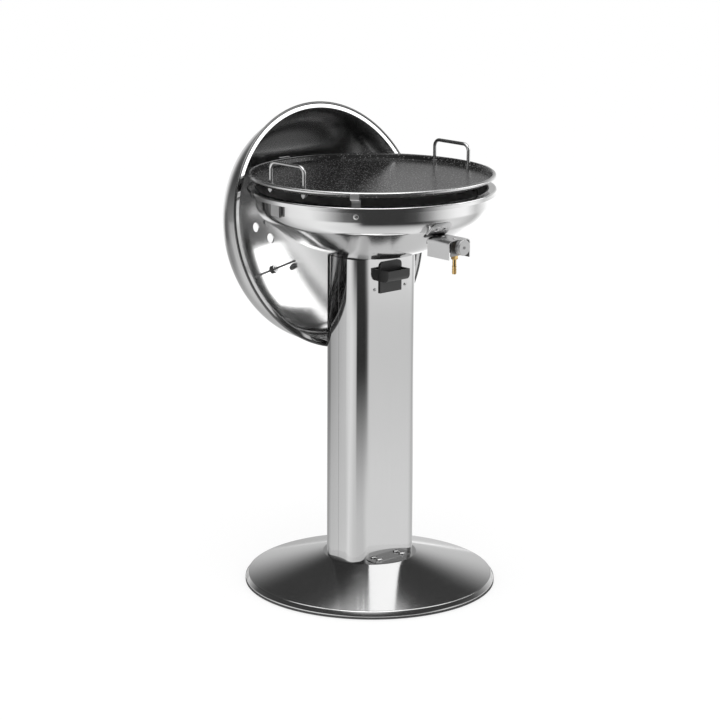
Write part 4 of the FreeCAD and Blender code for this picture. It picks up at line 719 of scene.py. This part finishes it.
def lathe(name, outline, steps=SPIN_STEPS, place=None):
    """A solid of revolution from a closed outline in (radius, z)."""
    bm = bmesh.new()
    rings = []
    for radius, z in outline:
        if radius < WELD:
            vertex = bm.verts.new((0, 0, z))
            rings.append([vertex] * steps)
            continue
        turns = [2 * math.pi * k / steps for k in range(steps)]
        rings.append([bm.verts.new((radius * math.cos(a), radius * math.sin(a), z)) for a in turns])
    for ring, following in zip(rings, rings[1:] + rings[:1]):
        for k in range(steps):
            j = (k + 1) % steps
            corners = [ring[k], ring[j], following[j], following[k]]
            unique = list(dict.fromkeys(corners))
            if len(unique) > 2:
                bm.faces.new(unique)
    if place is not None:
        bmesh.ops.transform(bm, matrix=place, verts=bm.verts)
    return finish_mesh(name, bm)


def welded(node):
    """A construction node's mesh with its double points joined."""
    bm = bmesh.new()
    bm.from_mesh(frame["nodes"][node].data)
    bmesh.ops.remove_doubles(bm, verts=bm.verts, dist=WELD)
    return bm


def refined(node, bevel):
    """A clean copy of a construction node, with smooth curves and softened edges."""
    bm = welded(node)
    if bevel:
        bmesh.ops.dissolve_limit(bm, angle_limit=FLAT, verts=bm.verts, edges=bm.edges)
    piece = finish_mesh(node + "_skin", bm, recalc=False)
    if bevel:
        modifier = piece.modifiers.new("soft edge", "BEVEL")
        modifier.width = bevel
        modifier.segments = BEVEL_STEPS
        modifier.limit_method = "ANGLE"
        modifier.angle_limit = SOFTEN_FROM
        modifier.harden_normals = True
        apply_modifiers(piece)
    return dress(piece, node)


# Foot, bowl, pan and lid


def make_foot():
    inner = FOOT_RADIUS - FOOT_SHEET
    path = rounded([
        (inner, 0.0015),
        (inner, 0.0078, 0.004),
        (0.2725, 0.0165, 0.0022),
        (0.2712, 0.0165, 0.0008),
        (0.104, 0.0645, 0.008),
        (0.0005, 0.0645),
    ], closed=False)
    piece = lathe("base_disc_spun", sheet_outline(path, -FOOT_SHEET))
    low, high = FOOT_BOLT_DEPTH
    cutters = [bar(FOOT_BOLT_HOLE, (x, y, low), (x, y, high)) for x, y in FOOT_BOLTS]
    dress(drilled(piece, cutters), "base_disc")


def make_bowl():
    under, edge, wall = 0.8940, 0.2695, 0.2525
    path = rounded([
        (0.0119, BOWL_BOTTOM),
        (0.100, BOWL_BOTTOM, 0.030),
        (0.168, 0.7780, 0.150),
        (wall, 0.8420, 0.040),
        (wall, under, 0.0025),
        (edge, under, 0.0025),
        (edge, 0.8845),
    ], closed=False)
    piece = lathe("bowl_spun", sheet_outline(path, BOWL_SHEET))
    dress(mark_inside(piece, Vector((0, 0, under))), "bowl")


def make_pan():
    path = rounded([
        (0.0005, 0.913),
        (0.2585, 0.913, 0.004),
        (0.263, 0.9245, 0.0022),
        (0.267, 0.9245, 0.0018),
        (0.267, 0.9208),
    ], closed=False)
    dress(lathe("pan_pressed", sheet_outline(path, PAN_SHEET)), "pan")


def lid_place():
    """Turns a piece drawn on a lid that lies flat to its place behind the bowl."""
    return Matrix.Translation(LID_CENTRE) @ Matrix.Rotation(-(math.pi / 2 + LID_TILT), 4, "X")


def crown_place(x, y):
    """A place on the lid's crown, square to it. x and y are measured on a lid that lies flat."""
    normal = Vector((x, y, math.sqrt(LID_CROWN ** 2 - x * x - y * y))) / LID_CROWN
    point = Vector((0, 0, LID_HEIGHT - LID_CROWN)) + normal * LID_CROWN
    turn = Vector((0, 0, 1)).rotation_difference(normal).to_matrix().to_4x4()
    return lid_place() @ Matrix.Translation(point) @ turn


def make_lid():
    """A spun lid with four vent holes, whose rim ends in a rolled bead."""
    path = rounded([
        (LID_EDGE, LID_FLANGE),
        (LID_WALL, LID_FLANGE, 0.0012),
        (LID_WALL, LID_SHOULDER, LID_KNUCKLE),
        (LID_REACH, LID_HEIGHT),
    ], closed=False)[:-1]
    for k in range(CROWN_STEPS):
        angle = LID_SLOPE * (1 - k / CROWN_STEPS)
        rise = LID_HEIGHT - LID_CROWN + LID_CROWN * math.cos(angle)
        path.append(Vector((LID_CROWN * math.sin(angle), rise)))
    path.append(Vector((0.0005, LID_HEIGHT)))
    piece = lathe("lid_spun", sheet_outline(path, LID_SHEET), place=lid_place())
    vent = crown_place(*VENT_SPOT)
    depth = Vector((0, 0, VENT_DEPTH))
    cutters = []
    for angle in VENT_BEARINGS:
        spot = Vector((VENT_CIRCLE * math.cos(angle), VENT_CIRCLE * math.sin(angle), 0))
        cutters.append(bar(VENT_HOLE, vent @ (spot - depth), vent @ (spot + depth)))
    dress(mark_inside(drilled(piece, cutters), LID_CENTRE), "lid_shell")
    centre = LID_RADIUS - LID_BEAD
    ring = [Vector((centre + LID_BEAD * math.cos(a), LID_BEAD + LID_BEAD * math.sin(a)))
            for a in (2 * math.pi * k / BEAD_STEPS for k in range(BEAD_STEPS))]
    roll = lathe("lid_bead", ring, place=lid_place())
    roll.data.materials.append(FINISHES["lid_steel"])
    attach(roll, "lid")


# Fasteners and the dial's marks, repeated by one geometry tree


def make_repeater():
    """A tree that puts a shape on every point, turned to the point's axis and side."""
    tree = bpy.data.node_groups.new("repeated piece", "GeometryNodeTree")
    for name, kind in (("Points", "Geometry"), ("Shape", "Object"), ("Finish", "Material")):
        tree.interface.new_socket(name, in_out="INPUT", socket_type="NodeSocket" + kind)
    tree.interface.new_socket("Pieces", in_out="OUTPUT", socket_type="NodeSocketGeometry")
    g = Graph(tree)
    given = g.node("NodeGroupInput")
    points, shape, finish = (Field(g, given.outputs[n]) for n in ("Points", "Shape", "Finish"))
    axis, side = (
        g.out("GeometryNodeInputNamedAttribute", {"data_type": "FLOAT_VECTOR"}, {"Name": name})
        for name in ("axis", "side")
    )
    upright = g.out("FunctionNodeAlignRotationToVector", {"axis": "Z"}, {"Vector": axis})
    turned = g.out("FunctionNodeAlignRotationToVector", {"axis": "X", "pivot_axis": "Z"},
                   {"Rotation": upright, "Vector": side})
    spots = g.out("GeometryNodeMeshToPoints", None, {"Mesh": points})
    model = g.node("GeometryNodeObjectInfo", {"transform_space": "ORIGINAL"}, {"Object": shape})
    placed = g.out("GeometryNodeInstanceOnPoints", None, {
        "Points": spots, "Instance": Field(g, model.outputs["Geometry"]), "Rotation": turned,
    })
    whole = g.out("GeometryNodeRealizeInstances", None, {"Geometry": placed})
    painted = g.out("GeometryNodeSetMaterial", None, {"Geometry": whole, "Material": finish})
    g.node("NodeGroupOutput", None, {"Pieces": painted})
    return tree


def repeated(name, shape, places, finish):
    """One mesh with the shape at every place (point, axis, side). The shape itself is removed."""
    mesh = bpy.data.meshes.new(name)
    mesh.from_pydata([tuple(p) for p, _, _ in places], [], [])
    for title, index in (("axis", 1), ("side", 2)):
        values = mesh.attributes.new(title, "FLOAT_VECTOR", "POINT")
        for item, place in zip(values.data, places):
            item.vector = place[index]
    piece = add_object(name, mesh)
    modifier = piece.modifiers.new("repeat", "NODES")
    modifier.node_group = REPEATER
    sockets = {s.name: s.identifier for s in REPEATER.interface.items_tree if s.in_out == "INPUT"}
    modifier[sockets["Shape"]] = shape
    modifier[sockets["Finish"]] = finish
    apply_modifiers(piece)
    bpy.data.objects.remove(shape)
    return piece


def islands(node):
    """The separate solids of a construction node, as (points, face centres, face normals, face areas)."""
    bm = welded(node)
    left = set(bm.faces)
    found = []
    while left:
        queue = [left.pop()]
        solid = []
        while queue:
            face = queue.pop()
            solid.append(face)
            for edge in face.edges:
                for other in edge.link_faces:
                    if other in left:
                        left.remove(other)
                        queue.append(other)
        points = np.array([v.co[:] for v in {v for f in solid for v in f.verts}])
        found.append((
            points,
            np.array([f.calc_center_median()[:] for f in solid]),
            np.array([f.normal[:] for f in solid]),
            np.array([f.calc_area() for f in solid]),
        ))
    bm.free()
    return sorted(found, key=lambda s: tuple(s[0].mean(axis=0).round(4)))


def measured(solid):
    """Axis, side and sizes of a turned or hexagonal solid; the axis points to its wider end."""
    points, centres, normals, areas = solid
    weights, vectors = np.linalg.eigh((normals * areas[:, None]).T @ normals)
    axis = vectors[:, 2] if weights[2] - weights[1] > weights[1] - weights[0] else vectors[:, 0]
    middle = (centres * areas[:, None]).sum(axis=0) / areas.sum()
    height = (points - middle) @ axis
    spread = points - middle - np.outer(height, axis)
    radius = np.linalg.norm(spread, axis=1)
    wide = radius > RIM_BAND * radius.max()
    if height[wide].mean() < (height.max() + height.min()) / 2:
        axis, height = -axis, -height
    seat = height[wide].min()
    shank = radius[height < seat - SEAT_MARGIN]
    side = spread[radius.argmax()]
    return {
        "seat": Vector(middle + axis * seat),
        "axis": Vector(axis),
        "side": Vector(side).normalized(),
        "radius": float(radius.max()),
        "rise": float(height.max() - seat),
        "rim": float(height[wide].max() - seat),
        "shank": float(shank.max()) if len(shank) else 0.0,
        "length": float(seat - height.min()),
        "bore": float(radius.min()),
    }


def ring_stack(name, rings, sides=HEAD_SIDES):
    """A closed solid through rings (radius, z, hexagonal); a zero radius is a pole."""
    bm = bmesh.new()
    made = []
    for radius, z, hexed in rings:
        if radius < WELD:
            made.append([bm.verts.new((0, 0, z))] * sides)
            continue
        row = []
        for k in range(sides):
            a = 2 * math.pi * k / sides
            r = radius
            if hexed:
                r = radius * math.cos(math.pi / 6) / math.cos(a % (math.pi / 3) - math.pi / 6)
            row.append(bm.verts.new((r * math.cos(a), r * math.sin(a), z)))
        made.append(row)
    pairs = list(zip(made, made[1:]))
    if rings[0][0] > WELD:
        pairs.append((made[-1], made[0]))
    for ring, following in pairs:
        for k in range(sides):
            j = (k + 1) % sides
            corners = list(dict.fromkeys([ring[k], ring[j], following[j], following[k]]))
            if len(corners) > 2:
                bm.faces.new(corners)
    return finish_mesh(name, bm)


def button_head(sizes, socket):
    """A round-headed bolt or rivet, seated at z 0, with a hexagonal socket if it has one."""
    r, rise, rim, s, length = (sizes[k] for k in ("radius", "rise", "rim", "shank", "length"))
    soft = SHANK_CHAMFER * s
    rings = [(0, -length, False), (s - soft, -length, False), (s, -length + soft, False), (s, 0, False),
             (r, 0, False), (r, rim * HEAD_SIDE, False)]
    for k in range(1, DOME_STEPS + 1):
        out = r + (socket * r - r) * (k / DOME_STEPS)
        rings.append((out, rim + (rise - rim) * math.sqrt(max(0.0, 1 - (out / r) ** 2)), False))
    if socket:
        low = rise * SOCKET_FLOOR
        lip, top, _ = rings.pop()
        rings += [(lip, top, True), (lip * SOCKET_TAPER, low, True), (0, low * SOCKET_POINT, False)]
    return ring_stack("button_head", rings)


def hexagon_nut(sizes):
    """A chamfered nut, standing on z 0, open through its bore."""
    r, high, bore = sizes["radius"], sizes["rise"], sizes["bore"]
    flat, soft = r * math.cos(math.pi / 6), NUT_BORE_CHAMFER * high
    face, corner = flat * NUT_FACE, (r - flat) * NUT_CORNER
    return ring_stack("hexagon_nut", [
        (bore, soft, False), (bore + soft, 0, False), (face, 0, False), (r, corner, True),
        (r, high - corner, True), (face, high, False), (bore + soft, high, False), (bore, high - soft, False),
    ])


def make_dial():
    """A plain white dial plate with two rings of marks, inside the thermometer's case."""
    seat = crown_place(*DIAL_SPOT)
    plate = lathe("dial_plate", [
        Vector((DIAL_PIN, DIAL_FLOOR)), Vector((DIAL_REACH, DIAL_FLOOR)),
        Vector((DIAL_REACH, DIAL_FACE)), Vector((DIAL_PIN, DIAL_FACE)),
    ], DIAL_STEPS, seat)
    plate.data.materials.append(DIAL_WHITE)
    pieces = [plate]
    for name, (count, long, wide, high) in DIAL_MARKS.items():
        bm = bmesh.new()
        bmesh.ops.create_cube(bm, size=1.0, matrix=Matrix.Diagonal((long, wide, high, 1)))
        turn = seat.to_3x3()
        axis = turn @ Vector((0, 0, 1))
        places = []
        for k in range(count):
            angle = DIAL_START - DIAL_SWEEP * k / (count - 1)
            out = Vector((math.cos(angle), math.sin(angle), 0))
            spot = out * (DIAL_REACH - DIAL_EDGE - long / 2) + Vector((0, 0, DIAL_FACE + high / 2))
            places.append((seat @ spot, axis, turn @ out))
        pieces.append(repeated(name, finish_mesh(name + "_shape", bm), places, DIAL_INK))
    for piece in pieces:
        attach(piece, "lid")


def fasten(node, ending, build, *options):
    """Puts one built shape in the place of each of a node's solids."""
    solids = [measured(s) for s in islands(node)]
    places = [(s["seat"], s["axis"], s["side"]) for s in solids]
    shape = build(solids[0], *options)
    dress(repeated(node + ending, shape, places, FINISHES[SLOT_OF[node]]), node)


def make_fasteners():
    for node, socket in BUTTON_HEADS.items():
        fasten(node, "_heads", button_head, socket)
    for node in HEX_NUTS:
        fasten(node, "_cut", hexagon_nut)


# Everything else keeps its construction mesh, cleaned


def make_rest():
    for node in sorted(frame["nodes"]):
        if node in SPUN or node in BUTTON_HEADS or node in HEX_NUTS:
            continue
        piece = refined(node, SOFT_EDGES.get(node, 0.0))
        # The guard's inner faces are marked for the painted shade in its finish.
        if node == "valve_guard":
            mark_inside(piece, GUARD_AXIS, Vector((0, 1, 0)))


# Studio: a white sweep and walls; dark overhead and on the camera's side, which the steel shows


def camera_sides():
    """Level directions from the object: toward the camera, and toward its right-hand side."""
    toward = Vector(CAMERA_PLACE).xy.normalized()
    return toward, Vector((-toward.y, toward.x))


def sector(graph, x, y, stops):
    """A level set by the bearing of (x, y), counted from the camera's side, right-hand positive."""
    toward, aside = camera_sides()
    bearing = graph.math("ARCTAN2", x * aside.x + y * aside.y, x * toward.x + y * toward.y)
    turn = bearing / (2 * math.pi) + 0.5
    marks = [((angle + 180) / 360, grey(level)) for angle, level in stops]
    return graph.out("ShaderNodeValToRGB", {"stops": marks}, {0: turn})


def in_reflection(graph):
    """1 where the floor or the world is seen in polished metal, 0 elsewhere."""
    rays = graph.node("ShaderNodeLightPath")
    return Field(graph, rays.outputs["Is Glossy Ray"])


def make_floor():
    """A white floor that keeps the shadow, and darkens away from the object on the camera's side."""
    bpy.ops.mesh.primitive_plane_add(size=FLOOR_SIZE, location=(0, 0, 0))
    floor = bpy.context.object
    floor.name = "floor"
    material = bpy.data.materials.new("studio floor")
    g = empty_graph(material)
    x, y, _ = g.split(g.place())
    reach = g.math("SQRT", x * x + y * y)
    glossy = in_reflection(g)
    matt = g.node("ShaderNodeBsdfDiffuse", None, {"Color": grey(FLOOR_MATT) + (1,)})
    glow = g.node("ShaderNodeEmission", None, {"Strength": 1 - FLOOR_MATT})
    plain = g.node("ShaderNodeAddShader")
    g.tree.links.new(matt.outputs[0], plain.inputs[0])
    g.tree.links.new(glow.outputs[0], plain.inputs[1])
    near = sector(g, x, y, FLOOR_NEAR)
    level = near + (sector(g, x, y, FLOOR_MID) - near) * g.step(reach, *FLOOR_FADE)
    level = level + (sector(g, x, y, FLOOR_FAR) - level) * g.step(reach, *FLOOR_REST)
    # Painted shadow: as reflections show it, the floor is darkened close round the foot's edge, in place of
    # the contact shadow.
    level = level * (FLOOR_UNDER + (1 - FLOOR_UNDER) * g.step(reach, *FLOOR_SHADE))
    mirrored = g.node("ShaderNodeEmission", None, {"Strength": level})
    pick = g.node("ShaderNodeMixShader", None, {0: glossy})
    g.tree.links.new(plain.outputs[0], pick.inputs[1])
    g.tree.links.new(mirrored.outputs[0], pick.inputs[2])
    g.end("ShaderNodeOutputMaterial", pick)
    floor.data.materials.append(material)


def make_card():
    """A white card to the right of the camera, which only reflections show."""
    toward, aside = camera_sides()
    turn = math.radians(CARD_BEARING)
    out = toward * math.cos(turn) + aside * math.sin(turn)
    along = aside * math.cos(turn) - toward * math.sin(turn)
    near, far = (out * CARD_AWAY + along * end for end in CARD_ENDS)
    low, high = CARD_RISE
    corners = [(*near, low), (*far, low), (*far, high), (*near, high)]
    mesh = bpy.data.meshes.new("side card")
    mesh.from_pydata(corners, [], [(0, 1, 2, 3)])
    card = add_object("side card", mesh)
    material = bpy.data.materials.new("side card")
    g = empty_graph(material)
    g.end("ShaderNodeOutputMaterial", g.node("ShaderNodeEmission", None, {"Strength": CARD_LEVEL}))
    mesh.materials.append(material)
    card.visible_camera = False
    card.visible_diffuse = False
    card.visible_transmission = False
    card.visible_shadow = False


def make_world():
    """A plain white room, whose ceiling and camera side are dark to the steel."""
    world = bpy.data.worlds.new("studio")
    bpy.context.scene.world = world
    g = empty_graph(world)
    direction = g.out("ShaderNodeTexCoord", None, None, 0)
    x, y, height = g.split(direction)
    glossy = in_reflection(g)
    walls = sector(g, x, y, WALLS)
    ceiling = g.step(height, sector(g, x, y, WALL_SHADES), sector(g, x, y, WALL_TOPS))
    skylight = g.step(height, *SKYLIGHT_EDGE)
    level = walls + (CEILING - walls) * ceiling + SKYLIGHT * skylight
    white = grey(1.0) + (1,)
    mirrored = g.node("ShaderNodeBackground", None, {"Color": white, "Strength": level})
    plain = g.node("ShaderNodeBackground", None, {"Color": white, "Strength": 1.0})
    pick = g.node("ShaderNodeMixShader", None, {0: glossy})
    g.tree.links.new(plain.outputs[0], pick.inputs[1])
    g.tree.links.new(mirrored.outputs[0], pick.inputs[2])
    g.end("ShaderNodeOutputWorld", pick)


def add_lamp(name, place, target, size, power):
    data = bpy.data.lights.new(name, "AREA")
    data.shape = "RECTANGLE"
    data.size, data.size_y = size
    data.energy = power
    lamp = add_object(name, data)
    lamp.location = place
    lamp.rotation_euler = (Vector(target) - Vector(place)).to_track_quat("-Z", "Y").to_euler()


def make_camera():
    data = bpy.data.cameras.new("camera")
    data.sensor_width = CAMERA_SENSOR
    data.lens = CAMERA_LENS
    data.shift_x = CAMERA_SHIFT
    data.clip_end = CAMERA_REACH
    camera = add_object("camera", data)
    camera.location = CAMERA_PLACE
    camera.rotation_euler = (math.radians(90 - CAMERA_PITCH), 0, -math.radians(CAMERA_AZIMUTH))
    bpy.context.scene.camera = camera


make_foot()
make_bowl()
make_pan()
make_lid()
REPEATER = make_repeater()
make_fasteners()
make_dial()
make_rest()
make_floor()
make_card()
make_world()
add_lamp("top lamp", **LAMP)
make_camera()
bpy.context.scene.view_settings.view_transform = "Standard"
